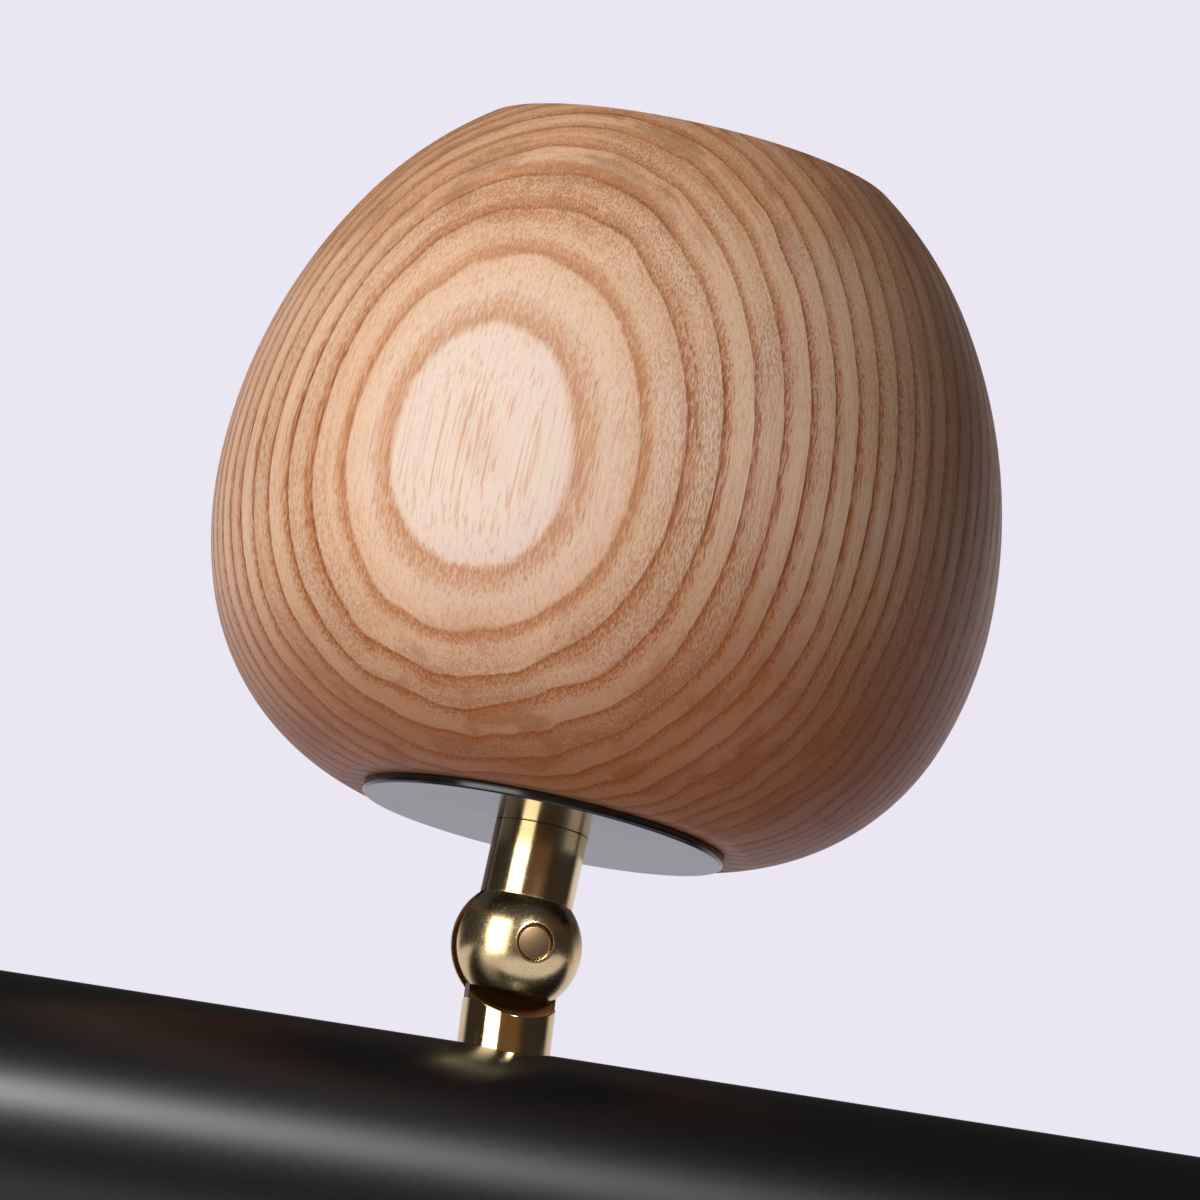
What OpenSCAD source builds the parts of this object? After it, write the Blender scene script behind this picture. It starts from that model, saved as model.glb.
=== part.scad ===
// One light of a wooden chandelier: a turned shade on a brass ball swivel, carried by a black round bar.
// Millimetres. +Z is up and X runs along the bar. The origin lies midway between the two hanger holes,
// on the top faces of the hanger bosses.

/* [Bar] */
// Outside diameter of the bar
bar_d = 50; // [46:1:60]
// Wall of the bar
bar_wall = 2.5; // [2:0.1:3]
// Length of bar outside each hanger
bar_overhang = 40; // [34:1:80]

/* [End caps] */
// Thickness of a cap's flange
cap_t = 3; // [2:0.5:6]
// Depth of a cap's plug in the bar
cap_plug = 10; // [6:1:16]
// Wall of a cap's plug
cap_wall = 2; // [1.5:0.5:4]
// Radius on a cap's outer edge
cap_round = 1.5; // [0.5:0.1:1.9]

/* [Hangers] */
// Distance between the two hanger bosses
hanger_pitch = 280; // [260:5:400]
// Height of a boss above the top of the bar
hanger_h = 12; // [11:1:20]
// Depth of the tapped hole in a boss
tapped_depth = 9; // [6:1:10]
// Diameter of the tapped hole in a boss
tapped_d = 9; // [8:0.1:9.4]
// Chamfer on the top edge of a boss
boss_chamfer = 0.6; // [0.2:0.1:1.2]

/* [Threads and nuts] */
// Outside diameter of the threaded spigots and of the nipple
thread_d = 10; // [9.5:0.1:10.5]
// Bore through the threaded spigots and the nipple
lead_bore_d = 7; // [6:0.1:7.4]
// Width of a nut across its flats
nut_af = 14; // [13:0.5:17]
// Thickness of a nut
nut_t = 3.5; // [2.5:0.5:6]
// Length of thread that shows past a nut
thread_over = 1; // [0.5:0.1:3]

/* [Seats inside the bar] */
// Radius of the curved seat under a hanger boss
hanger_saddle_r = 9; // [8.5:0.5:12]
// Radius of the curved seat under the stem
stem_saddle_r = 12; // [11.5:0.5:14]
// Thickness of a curved seat at its edge
saddle_t = 1.8; // [1.2:0.1:3]
// Flat rim left around a foot on the bar
seat_rim = 0.3; // [0.1:0.1:0.6]

/* [Turn stop] */
// Diameter of the stop pin
stop_d = 2; // [1.5:0.1:2.4]
// Distance from the stem's axis to the stop pin
stop_reach = 9.6; // [9.2:0.1:10]
// Depth of the stop pin in its seat
stop_grip = 3; // [2:0.1:4]
// Length of the stop pin below its seat
stop_drop = 1.2; // [0.8:0.1:1.6]
// Radius of the keyed washer
tab_washer_r = 8; // [7:0.1:8.1]
// Thickness of the keyed washer
tab_washer_t = 1.2; // [0.8:0.1:2]
// Width of the keyed washer's tab
tab_w = 3.2; // [2:0.1:5]
// Distance from the stem's axis to the flat on its thread
key_flat = 4.4; // [4.2:0.1:4.7]
// Thickness of the spring washer
spring_t = 0.6; // [0.4:0.1:1]
// Height of the spring washer's cone
spring_cone = 0.6; // [0.3:0.1:1]
// Radius of the spring washer
spring_r = 7.6; // [7:0.1:9]

/* [Swivel] */
// Diameter of the stem, the neck and the bosses
stem_d = 14; // [13.5:0.1:14.5]
// Diameter of the ball
ball_d = 19.6; // [19.2:0.1:22]
// Height of the pivot pin above the top of the bar
pin_rise = 15.5; // [14.5:0.1:24]
// Distance from the pivot pin to the underside of the disc
neck_rise = 18; // [17:0.5:30]
// Distance from the pivot pin down to the flat under the ball
ball_cut = 7.5; // [6.8:0.1:8.2]
// Gap between the ball and the hollow top of the stem
saddle_gap = 1.2; // [0.6:0.1:2]
// Thickness of the tongue
tongue_t = 2.2; // [1.8:0.1:3]
// Gap between the tongue's rim and the ball's surface
tongue_inset = 0.6; // [0.4:0.1:1]
// Diameter of the pivot pin
pin_d = 5; // [4:0.1:5.2]
// Diameter of the pin hole's mouth
pin_mouth_d = 5.6; // [5.3:0.1:6]
// Depth of the pin hole's mouth
pin_mouth_depth = 1.8; // [1:0.1:2.5]
// Depth of the pin's plain end below the ball
pin_recess = 0.8; // [0.3:0.1:1]
// Diameter of the pin's slotted head
pin_head_d = 7.2; // [6.5:0.1:8]
// Thickness of the pin's slotted head
pin_head_t = 2.2; // [1.6:0.1:2.6]
// Width and depth of the pin's driver slot
pin_slot = 0.9; // [0.6:0.1:1.2]
// Thickness of a friction washer
friction_t = 0.35; // [0.2:0.05:0.6]
// Radius of a friction washer
friction_r = 6; // [5:0.1:6.5]
// Metal left between the slot and the neck's thread
neck_floor = 0.8; // [0.5:0.1:1.5]
// Space below the nipple in the neck, where the leads draw in
nipple_lift = 2.5; // [2:0.1:3]
// Lean of the head to the right, as pictured
head_lean = 5.5; // [0:0.5:20]

/* [Disc and shade] */
// Diameter of the disc under the shade
plate_d = 55; // [45:1:60]
// Thickness of the disc
plate_t = 1.5; // [1:0.1:4]
// Radius on the disc's edges
plate_round = 0.4; // [0.2:0.05:0.45]
// Radius of the shade at its widest
shade_r = 59; // [57:0.5:65]
// Height of the widest ring above the shade's underside
belly_h = 42.8; // [40:0.2:46]
// Radius of the curve above the widest ring
side_r = 80; // [76:1:84]
// Angle that the curve above the widest ring spans
side_arc = 33; // [30:1:36]
// Radius of the curve below the rim
shoulder_r = 60; // [56:1:66]
// Radius of the curve below the widest ring
belly_r = 57; // [54:1:60]
// Angle that the curve below the widest ring spans
belly_arc = 20; // [16:1:24]
// Radius of the curve that runs in under the shade
base_r = 38; // [37:0.5:40]
// Radius of the rim's outer edge
rim_r = 31; // [28:0.5:34]
// Radius of the mouth
mouth_r = 24; // [21:0.5:26]
// Wall of the shade
shade_wall = 6; // [5:0.5:8]
// Thickness of the shade's floor
floor_t = 10; // [8:0.5:14]
// Radius on the rim's edges
rim_round = 0.8; // [0.4:0.1:1]

/* [Lampholder] */
// Radius of the washer on the shade's floor
floor_washer_r = 11; // [9:0.5:16]
// Thickness of the washer on the shade's floor
floor_washer_t = 1.5; // [1:0.1:3]
// Thickness of the strap
strap_t = 1.2; // [0.8:0.1:2]
// Width of the strap
strap_w = 14; // [12.5:0.5:18]
// Width of the lampholder
holder_w = 24; // [22:0.5:28]
// Depth of the lampholder
holder_depth = 14; // [12:0.5:18]
// Height of the lampholder
holder_h = 17; // [16:0.5:22]
// Space between the nipple and the lampholder
holder_gap = 2; // [1:0.1:4]
// Diameter of a lampholder screw
screw_d = 3; // [2.5:0.1:3.5]
// Length of a lampholder screw in the lampholder
screw_grip = 4; // [2:0.1:5]
// Diameter of a lampholder screw's head
screw_head_d = 5.5; // [4.5:0.1:7]
// Height of a lampholder screw's head
screw_head_h = 1.8; // [1:0.1:3]
// Distance between the two contacts
contact_pitch = 9; // [8:0.1:10]
// Depth of a contact's pocket
pocket_depth = 13; // [11:0.5:14]
// Length of a contact's pocket
pocket_l = 5.4; // [5:0.1:7]
// Width of a contact's pocket
pocket_w = 3; // [2.8:0.1:4]
// Thickness of a contact's metal
contact_t = 0.5; // [0.3:0.05:0.6]
// Height of a contact
contact_h = 9; // [7:0.5:10]

/* [Bulb] */
// Diameter of the bulb
bulb_d = 16; // [14:0.5:18]
// Height of the bulb's base
bulb_base_h = 8; // [6:0.5:12]
// Depth of the bulb's base from front to back
bulb_base_depth = 10; // [8:0.5:12]
// Length of the bulb's straight glass
bulb_straight = 24; // [16:0.5:30]
// Wall of the bulb's glass
bulb_wall = 1; // [0.6:0.1:1.5]
// Diameter of the light source's post
bulb_core_d = 7; // [4:0.5:10]
// Height of the light source's post
bulb_core_h = 20; // [10:0.5:24]
// Diameter of a bulb pin's wire
bulb_pin_d = 1; // [0.8:0.1:1.2]
// Distance between a bulb pin's two legs
bulb_loop = 2.8; // [2:0.1:3.2]
// Length of a bulb pin below the base
bulb_pin_l = 9; // [7:0.5:11]

/* [Leads] */
// Diameter of a lead
lead_d = 1.4; // [1:0.1:1.6]
// Distance from the stem's axis to a lead in the stem
lead_off = 2.3; // [2.1:0.05:2.4]
// Sideways distance from the pivot pin to a lead hole in the ball
lead_hole_x = 3.9; // [3.8:0.05:4.1]
// Distance of a lead hole in the ball from the middle of the slot
lead_hole_y = 2.8; // [2.7:0.05:2.9]
// Diameter of a lead hole in the ball
lead_hole_d = 1.9; // [1.7:0.1:2]
// Bend radius of the leads in the bar
lead_bend = 10; // [6:0.5:14]
// Distance from the stem to the terminal block
block_x = 55; // [40:1:90]
// Length of the terminal block
block_l = 20; // [14:1:30]
// Width of the terminal block
block_w = 18; // [14:1:24]
// Height of the terminal block above the leads
block_over = 3; // [2:0.5:8]
// Diameter of a terminal screw's head
block_screw_d = 3.6; // [3:0.1:4.5]
// Height of a terminal screw above the block
block_screw_h = 1; // [0.5:0.1:2]
// Depth of a terminal screw in the block
block_screw_grip = 5; // [3:0.5:6]

/* [Clearances] */
// Gap between pieces that are fastened to each other
fit_gap = 0.05; // [0.02:0.01:0.1]
// Gap around a pin or shaft that turns
run_gap = 0.06; // [0.02:0.01:0.1]
// Gap between flat faces that turn past each other
face_gap = 0.05; // [0.02:0.01:0.1]
// Gap between curved faces that turn past each other
swing_gap = 0.3; // [0.2:0.05:0.4]

/* [Hidden] */
$fn = 96;

black_coat = "#1b1b1d";
brass = "#c9a24a";
steel = "#b9bcc0";
ash_wood = "#c9ad85";
ceramic = "#ece7dc";
frosted = "#f4f0e4";
plastic = "#e6e6e2";
lead_brown = "#6b4226";
lead_blue = "#3a62a8";

// Overlap of a cutting shape past the face that it cuts
past = 1;
// Angle whose cosine sets how far a corner cut reaches past its round
corner_reach = 70;
// Sides of a lead that follows a list of points
lead_sides = 8;
// Share of a stretch's length above which it counts as running along Y
along_y = 0.9;

// Bar levels
bar_r = bar_d / 2;
bore_r = bar_r - bar_wall;
bar_len = hanger_pitch + 2 * bar_overhang;
crown_z = -hanger_h;
bar_z = crown_z - bar_r;
stem_r = stem_d / 2;
thread_r = thread_d / 2;
lead_bore_r = lead_bore_d / 2;
seat_r = stem_r + seat_rim;
seat_z = bar_z + sqrt(pow(bar_r, 2) - pow(seat_r + seat_rim, 2));
hanger_saddle_z = bar_z + sqrt(pow(bore_r, 2) - pow(hanger_saddle_r, 2)) - saddle_t;
hanger_end_z = hanger_saddle_z - nut_t - thread_over;

// Levels of the stack under the stem
stem_saddle_z = bar_z + sqrt(pow(bore_r, 2) - pow(stem_saddle_r, 2)) - saddle_t;
tab_washer_z = stem_saddle_z - face_gap - tab_washer_t;
spring_z = tab_washer_z - spring_cone - spring_t;
stem_nut_z = spring_z - nut_t;
stem_end_z = stem_nut_z - thread_over;

// Swivel, measured from the pivot pin
pin_z = crown_z + pin_rise;
ball_r = ball_d / 2;
pin_r = pin_d / 2;
tongue_r = ball_r - tongue_inset;
slot_r = tongue_r + swing_gap;
slot_w = tongue_t + 2 * (friction_t + face_gap);
neck_z = sqrt(pow(ball_r, 2) - pow(stem_r, 2));
cup_r = ball_r + saddle_gap;
thread_floor_z = slot_r + neck_floor;
nipple_z = thread_floor_z + nipple_lift;
pin_head_y = ball_r - pin_recess - pin_head_t;

// Levels of the head, measured from the pivot pin along the neck
wood_z = neck_rise + plate_t;
floor_z = wood_z + floor_t;
strap_z = floor_z + floor_washer_t;
nipple_nut_z = strap_z + strap_t;
nipple_end_z = nipple_nut_z + nut_t + thread_over;
holder_z = nipple_end_z + holder_gap;
bulb_z = holder_z + holder_h;
glass_z = bulb_z + bulb_base_h;

// Centres of the shade's curves, as [radius, height above the underside]
side_c = [shade_r - side_r, belly_h];
shoulder_c = side_c + (side_r - shoulder_r) * [cos(side_arc), sin(side_arc)];
belly_c = [shade_r - belly_r, belly_h];
base_c = belly_c + (belly_r - base_r) * [cos(belly_arc), -sin(belly_arc)];
shade_h = shoulder_c[1] + sqrt(pow(shoulder_r, 2) - pow(rim_r - shoulder_c[0], 2));

// Terminal block
lead_run_z = stem_end_z - face_gap - lead_bend;
block_top_z = lead_run_z + block_over;

// Shared shapes

// A straight rod along X, centred on the bar's axis
module bar_rod(r, l) {
    translate([0, 0, bar_z]) rotate([0, 90, 0]) cylinder(r = r, h = l, center = true);
}

// A washer or ring standing on z
module ring(r_out, r_in, h, z) {
    translate([0, 0, z])
    difference() {
        cylinder(r = r_out, h = h);
        translate([0, 0, -past]) cylinder(r = r_in, h = h + 2 * past);
    }
}

// A six-sided nut for the thread, standing on z
module nut(z) {
    translate([0, 0, z])
    difference() {
        cylinder(d = nut_af / cos(30), h = nut_t, $fn = 6);
        translate([0, 0, -past]) cylinder(r = thread_r + fit_gap, h = nut_t + 2 * past);
    }
}

// A seat that fits the bar's bore above and is flat below, around the axis through the origin
module saddle(r, hole_r, z) {
    difference() {
        intersection() {
            translate([0, 0, z]) cylinder(r = r, h = bore_r);
            bar_rod(bore_r - fit_gap, 2 * r + 2 * past);
        }
        translate([0, 0, z - past]) cylinder(r = hole_r, h = bore_r);
    }
}

// What lies outside a round of radius r at c, between two directions, out to a corner well past the round
module corner_cut(c, r, a0, a1) {
    am = (a0 + a1) / 2;
    far = r / cos(corner_reach);
    difference() {
        polygon([
            c,
            c + far * [cos(a0), sin(a0)],
            c + far * [cos(am), sin(am)],
            c + far * [cos(a1), sin(a1)]
        ]);
        translate(c) circle(r = r);
    }
}

// A cylinder along Y through the pivot pin's axis, from y0 to y1
module pin_rod(r, y0, y1) {
    translate([0, y1, 0]) rotate([90, 0, 0]) cylinder(r = r, h = y1 - y0);
}

// Places a shape in the swivel's frame, upright
module at_pin() {
    translate([0, 0, pin_z]) children();
}

// Places a shape in the head's frame, with its lean
module on_head() {
    at_pin() rotate([0, head_lean, 0]) children();
}

// A round lead along a list of points
module lead(route) {
    n = len(route);
    ways = [for (i = [0 : n - 1]) route[min(i + 1, n - 1)] - route[max(i - 1, 0)]];
    side_of = function(w) abs(w[1]) < along_y * norm(w) ? cross(w, [0, 1, 0]) : cross(w, [1, 0, 0]);
    points = [
        for (i = [0 : n - 1])
            let (u = side_of(ways[i]) / norm(side_of(ways[i])))
            let (v = cross(ways[i], u) / norm(ways[i]))
            for (k = [0 : lead_sides - 1])
                route[i] + lead_d / 2 * (cos(360 * k / lead_sides) * u + sin(360 * k / lead_sides) * v)
    ];
    walls = [
        for (i = [0 : n - 2], k = [0 : lead_sides - 1], half = [0, 1])
            let (a = i * lead_sides + k)
            let (b = i * lead_sides + (k + 1) % lead_sides)
            half == 0 ? [a, a + lead_sides, b] : [b, a + lead_sides, b + lead_sides]
    ];
    first = [for (k = [0 : lead_sides - 1]) k];
    last = [for (k = [lead_sides - 1 : -1 : 0]) (n - 1) * lead_sides + k];
    polyhedron(points, concat(walls, [first, last]));
}

// Bar and what is fixed to it

module bar_tube() {
    color(black_coat)
    difference() {
        bar_rod(bar_r, bar_len);
        bar_rod(bore_r, bar_len + 2 * past);
        for (x = hanger_pitch / 2 * [-1, 0, 1])
            translate([x, 0, seat_z]) cylinder(r = seat_r, h = bar_r);
        for (x = hanger_pitch / 2 * [-1, 1])
            translate([x, 0, bar_z]) cylinder(r = thread_r + fit_gap, h = bar_d);
        translate([0, 0, bar_z]) cylinder(r = thread_r + run_gap, h = bar_d);
    }
}

// A cap with its flange outside the bar and its plug in the bore
module end_cap(side) {
    plug_r = bore_r - fit_gap;
    color(black_coat)
    translate([side * bar_len / 2, 0, bar_z])
    rotate([0, side * 90, 0])
    rotate_extrude() {
        difference() {
            square([bar_r, cap_t]);
            corner_cut([bar_r - cap_round, cap_t - cap_round], cap_round, 0, 90);
        }
        translate([plug_r - cap_wall, -cap_plug]) square([cap_wall, cap_plug]);
    }
}

module end_cap_left() { end_cap(-1); }
module end_cap_right() { end_cap(1); }

// A boss with a tapped hole above and a hollow threaded spigot through the bar's wall
module hanger(side) {
    tapped_r = tapped_d / 2;
    color(brass)
    translate([side * hanger_pitch / 2, 0, 0])
    rotate_extrude()
    polygon([
        [lead_bore_r, hanger_end_z],
        [thread_r, hanger_end_z],
        [thread_r, seat_z],
        [stem_r, seat_z],
        [stem_r, -boss_chamfer],
        [stem_r - boss_chamfer, 0],
        [tapped_r, 0],
        [tapped_r, -tapped_depth],
        [lead_bore_r, -tapped_depth]
    ]);
}

module hanger_left() { hanger(-1); }
module hanger_right() { hanger(1); }

module hanger_saddles() {
    color(steel)
    for (side = [-1, 1])
        translate([side * hanger_pitch / 2, 0, 0])
        saddle(hanger_saddle_r, thread_r + fit_gap, hanger_saddle_z);
}

module hanger_nuts() {
    color(steel)
    for (side = [-1, 1])
        translate([side * hanger_pitch / 2, 0, 0]) nut(hanger_saddle_z - nut_t);
}

module stem_saddle() {
    color(steel)
    difference() {
        saddle(stem_saddle_r, thread_r + run_gap, stem_saddle_z);
        translate([-stop_reach, 0, stem_saddle_z - past])
            cylinder(d = stop_d + 2 * fit_gap, h = stop_grip + past);
    }
}

module stop_pin() {
    color(steel)
    translate([-stop_reach, 0, stem_saddle_z - stop_drop]) cylinder(d = stop_d, h = stop_grip + stop_drop);
}

// A block that stands on the bottom of the bore, with a hole for each lead
module terminal_block() {
    color(plastic)
    difference() {
        intersection() {
            bar_rod(bore_r - fit_gap, bar_len);
            translate([block_x, -block_w / 2, bar_z - bar_r])
                cube([block_l, block_w, block_top_z - bar_z + bar_r]);
        }
        for (side = [-1, 1]) {
            translate([block_x + block_l / 2, side * block_w / 4, block_top_z - block_screw_grip])
                cylinder(d = block_screw_d + 2 * fit_gap, h = block_screw_grip + past);
        }
    }
}

module terminal_screws() {
    color(brass)
    for (side = [-1, 1])
        translate([block_x + block_l / 2, side * block_w / 4, block_top_z - block_screw_grip])
        cylinder(d = block_screw_d, h = block_screw_grip + block_screw_h);
}

// Two leads from the stem's lower end, round a quarter turn and along to the terminal block
module bar_leads() {
    for (side = [-1, 1])
        color(side < 0 ? lead_brown : lead_blue)
        translate([0, side * lead_off, 0]) {
            translate([lead_bend, 0, lead_run_z + lead_bend])
                rotate([90, 0, 0])
                rotate_extrude(angle = 90, start = 180)
                translate([lead_bend, 0]) circle(d = lead_d);
            translate([lead_bend, 0, lead_run_z])
                rotate([0, 90, 0])
                cylinder(d = lead_d, h = block_x - lead_bend);
        }
}

// Stem, which turns on the bar

// The stem's hollow top runs round the pivot pin, and its tongue enters the ball's slot
module swivel_base() {
    color(brass)
    difference() {
        union() {
            difference() {
                translate([0, 0, seat_z]) cylinder(r = stem_r, h = pin_z - seat_z);
                at_pin() pin_rod(cup_r, -stem_d, stem_d);
                translate([0, 0, seat_z - past]) cylinder(r = lead_bore_r, h = pin_z - seat_z);
            }
            ring(thread_r, lead_bore_r, seat_z - stem_end_z, stem_end_z);
            at_pin() pin_rod(tongue_r, -tongue_t / 2, tongue_t / 2);
            intersection() {
                translate([0, 0, seat_z]) cylinder(r = stem_r, h = pin_z - seat_z);
                translate([-stem_r, -tongue_t / 2, pin_z - cup_r - tongue_t])
                    cube([stem_d, tongue_t, cup_r]);
            }
        }
        at_pin() pin_rod(pin_r + run_gap, -stem_d, stem_d);
        translate([key_flat, -stem_d, stem_saddle_z - stem_d]) cube([stem_d, 2 * stem_d, stem_d]);
    }
}

module stem_tab_washer() {
    color(steel)
    translate([0, 0, tab_washer_z])
    linear_extrude(tab_washer_t)
    difference() {
        union() {
            circle(r = tab_washer_r);
            translate([0, -tab_w / 2]) square([stop_reach + stop_d / 2, tab_w]);
        }
        difference() {
            circle(r = thread_r + fit_gap);
            translate([key_flat + fit_gap, -stem_d / 2]) square([stem_d, stem_d]);
        }
    }
}

// A shallow cone, so that it springs as the nut is drawn up
module stem_spring_washer() {
    inner_r = thread_r + fit_gap;
    color(steel)
    translate([0, 0, spring_z])
    rotate_extrude()
    polygon([
        [inner_r, 0],
        [spring_r, spring_cone],
        [spring_r, spring_cone + spring_t],
        [inner_r, spring_t]
    ]);
}

module stem_nut() {
    color(steel) nut(stem_nut_z);
}

module stem_leads() {
    top_z = pin_z - cup_r;
    for (side = [-1, 1])
        color(side < 0 ? lead_brown : lead_blue)
        translate([0, side * lead_off, stem_end_z]) cylinder(d = lead_d, h = top_z - stem_end_z);
}

// Head, which tilts about the pivot pin

// The ball and its neck are one turned piece, slotted from below for the tongue
module swivel_ball() {
    color(brass)
    on_head()
    difference() {
        union() {
            difference() {
                sphere(r = ball_r);
                translate([-ball_d, -ball_d, -ball_cut - ball_d]) cube([2 * ball_d, 2 * ball_d, ball_d]);
            }
            cylinder(r = stem_r, h = neck_rise);
        }
        pin_rod(slot_r, -slot_w / 2, slot_w / 2);
        translate([-ball_d, -slot_w / 2, neck_z - 2 * ball_d]) cube([2 * ball_d, slot_w, 2 * ball_d]);
        translate([0, 0, thread_floor_z]) cylinder(r = thread_r + fit_gap, h = neck_rise);
        pin_rod(pin_r + fit_gap, -ball_d, ball_d);
        pin_rod(pin_mouth_d / 2, -ball_d, pin_mouth_depth - ball_r);
        pin_rod(pin_head_d / 2 + fit_gap, pin_head_y - fit_gap, ball_d);
        for (side = [-1, 1])
            translate([lead_hole_x, side * lead_hole_y, -ball_d])
                cylinder(d = lead_hole_d, h = ball_d + thread_floor_z + past);
    }
}

module pivot_pin() {
    color(brass)
    on_head()
    difference() {
        union() {
            pin_rod(pin_r, pin_recess - ball_r, pin_head_y);
            pin_rod(pin_head_d / 2, pin_head_y, pin_head_y + pin_head_t);
        }
        translate([-ball_r, pin_head_y + pin_head_t - pin_slot, -pin_slot / 2])
            cube([ball_d, ball_r, pin_slot]);
    }
}

module friction_washers() {
    color(steel)
    on_head()
    for (side = [-1, 1])
        translate([0, side * (slot_w - friction_t) / 2, 0])
        rotate([90, 0, 0])
        ring(friction_r, pin_r + fit_gap, friction_t, -friction_t / 2);
}

module head_nipple() {
    color(steel) on_head() ring(thread_r, lead_bore_r, nipple_end_z - nipple_z, nipple_z);
}

module shade_plate() {
    inner = [plate_d / 2 - plate_round, plate_t - plate_round];
    color(black_coat)
    on_head()
    translate([0, 0, neck_rise])
    rotate_extrude()
    difference() {
        translate([thread_r + fit_gap, 0]) square([plate_d / 2 - thread_r - fit_gap, plate_t]);
        corner_cut(inner, plate_round, 0, 90);
        corner_cut([inner[0], plate_round], plate_round, -90, 0);
    }
}

// One stretch of the shade's outline: a disc kept between two heights
module outline_band(c, r, low, high) {
    intersection() {
        translate(c) circle(r = r);
        translate([0, low]) square([2 * shade_r, high - low]);
    }
}

// The shade's round form, drawn in by inset, from one height to another
module shade_form(inset, low, high) {
    side_top = belly_h + (side_r - inset) * sin(side_arc);
    belly_low = belly_h - (belly_r - inset) * sin(belly_arc);
    outline_band(shoulder_c, shoulder_r - inset, side_top, high);
    outline_band(side_c, side_r - inset, belly_h, side_top);
    outline_band(belly_c, belly_r - inset, belly_low, belly_h);
    outline_band(base_c, base_r - inset, low, belly_low);
    translate([0, low]) square([base_c[0], belly_low - low]);
}

// Turned from one block, with a flat foot, a bored mouth and rounded rim edges
module wood_shade() {
    round_z = shade_h - rim_round;
    round_r = shoulder_c[0] + sqrt(pow(shoulder_r - rim_round, 2) - pow(round_z - shoulder_c[1], 2));
    rim_angle = atan2(round_z - shoulder_c[1], round_r - shoulder_c[0]);
    inner_top = shoulder_c[1] + sqrt(pow(shoulder_r - shade_wall, 2) - pow(mouth_r - shoulder_c[0], 2));
    color(ash_wood)
    on_head()
    translate([0, 0, wood_z])
    rotate_extrude()
    difference() {
        shade_form(0, 0, shade_h);
        shade_form(shade_wall, floor_t, inner_top);
        translate([0, belly_h]) square([mouth_r, shade_h]);
        translate([0, -past]) square([thread_r + fit_gap, floor_t + 2 * past]);
        corner_cut([round_r, round_z], rim_round, rim_angle, 90);
        corner_cut([mouth_r + rim_round, round_z], rim_round, 90, 180);
    }
}

module floor_washer() {
    color(steel) on_head() ring(floor_washer_r, thread_r + fit_gap, floor_washer_t, floor_z);
}

// A strap with two legs that stand against the lampholder
module lamp_bracket() {
    leg_x = holder_w / 2;
    leg_h = holder_z + holder_h / 2 + screw_head_d - strap_z;
    color(steel)
    on_head()
    translate([0, 0, strap_z])
    difference() {
        union() {
            translate([-leg_x - strap_t, -strap_w / 2, 0]) cube([holder_w + 2 * strap_t, strap_w, strap_t]);
            for (x = [-leg_x - strap_t, leg_x])
                translate([x, -strap_w / 2, 0]) cube([strap_t, strap_w, leg_h]);
        }
        translate([0, 0, -past]) cylinder(r = thread_r + fit_gap, h = strap_t + 2 * past);
        translate([-holder_w, 0, holder_z + holder_h / 2 - strap_z])
            rotate([0, 90, 0])
            cylinder(d = screw_d + 2 * fit_gap, h = 2 * holder_w);
    }
}

module nipple_nut() {
    color(steel) on_head() nut(nipple_nut_z);
}

module lampholder() {
    color(ceramic)
    on_head()
    translate([0, 0, holder_z])
    difference() {
        translate([-holder_w / 2, -holder_depth / 2, 0]) cube([holder_w, holder_depth, holder_h]);
        for (side = [-1, 1]) {
            translate([side * contact_pitch / 2 - pocket_w / 2, -pocket_l / 2, holder_h - pocket_depth])
                cube([pocket_w, pocket_l, pocket_depth + past]);
            translate([side * holder_w / 2, 0, holder_h / 2])
                rotate([0, 90, 0])
                cylinder(d = screw_d + 2 * fit_gap, h = 2 * screw_grip, center = true);
        }
    }
}

module lampholder_screws() {
    color(steel)
    on_head()
    for (side = [-1, 1])
        translate([side * (holder_w / 2 + strap_t), 0, holder_z + holder_h / 2])
        rotate([0, side * 90, 0]) {
            cylinder(d = screw_head_d, h = screw_head_h);
            translate([0, 0, -strap_t - screw_grip]) cylinder(d = screw_d, h = strap_t + screw_grip);
        }
}

// Folded clips on the floors of the lampholder's pockets
module lamp_contacts() {
    l = pocket_l - 2 * fit_gap;
    w = pocket_w - 2 * fit_gap;
    color(brass)
    on_head()
    for (side = [-1, 1])
        translate([side * contact_pitch / 2, 0, holder_z + holder_h - pocket_depth])
        difference() {
            translate([-w / 2, -l / 2, 0]) cube([w, l, contact_h]);
            translate([contact_t - w / 2, -l, contact_t]) cube([w - 2 * contact_t, 2 * l, contact_h]);
        }
}

// Bulb

module bulb_base() {
    color(ceramic)
    on_head()
    translate([0, 0, bulb_z])
    intersection() {
        cylinder(d = bulb_d, h = bulb_base_h);
        translate([-bulb_d, -bulb_base_depth / 2, 0]) cube([2 * bulb_d, bulb_base_depth, bulb_base_h]);
    }
}

// Two wire loops below the base
module bulb_pins() {
    loop_r = bulb_loop / 2;
    straight = bulb_pin_l - loop_r - bulb_pin_d / 2;
    color(steel)
    on_head()
    for (side = [-1, 1])
        translate([side * contact_pitch / 2, 0, bulb_z - straight])
        rotate([0, 0, 90]) {
            for (leg = [-1, 1])
                translate([leg * loop_r, 0, 0]) cylinder(d = bulb_pin_d, h = straight);
            rotate([90, 0, 0])
                rotate_extrude(angle = 180, start = 180)
                translate([loop_r, 0]) circle(d = bulb_pin_d);
        }
}

module bulb_core() {
    color(frosted) on_head() translate([0, 0, glass_z]) cylinder(d = bulb_core_d, h = bulb_core_h);
}

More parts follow.
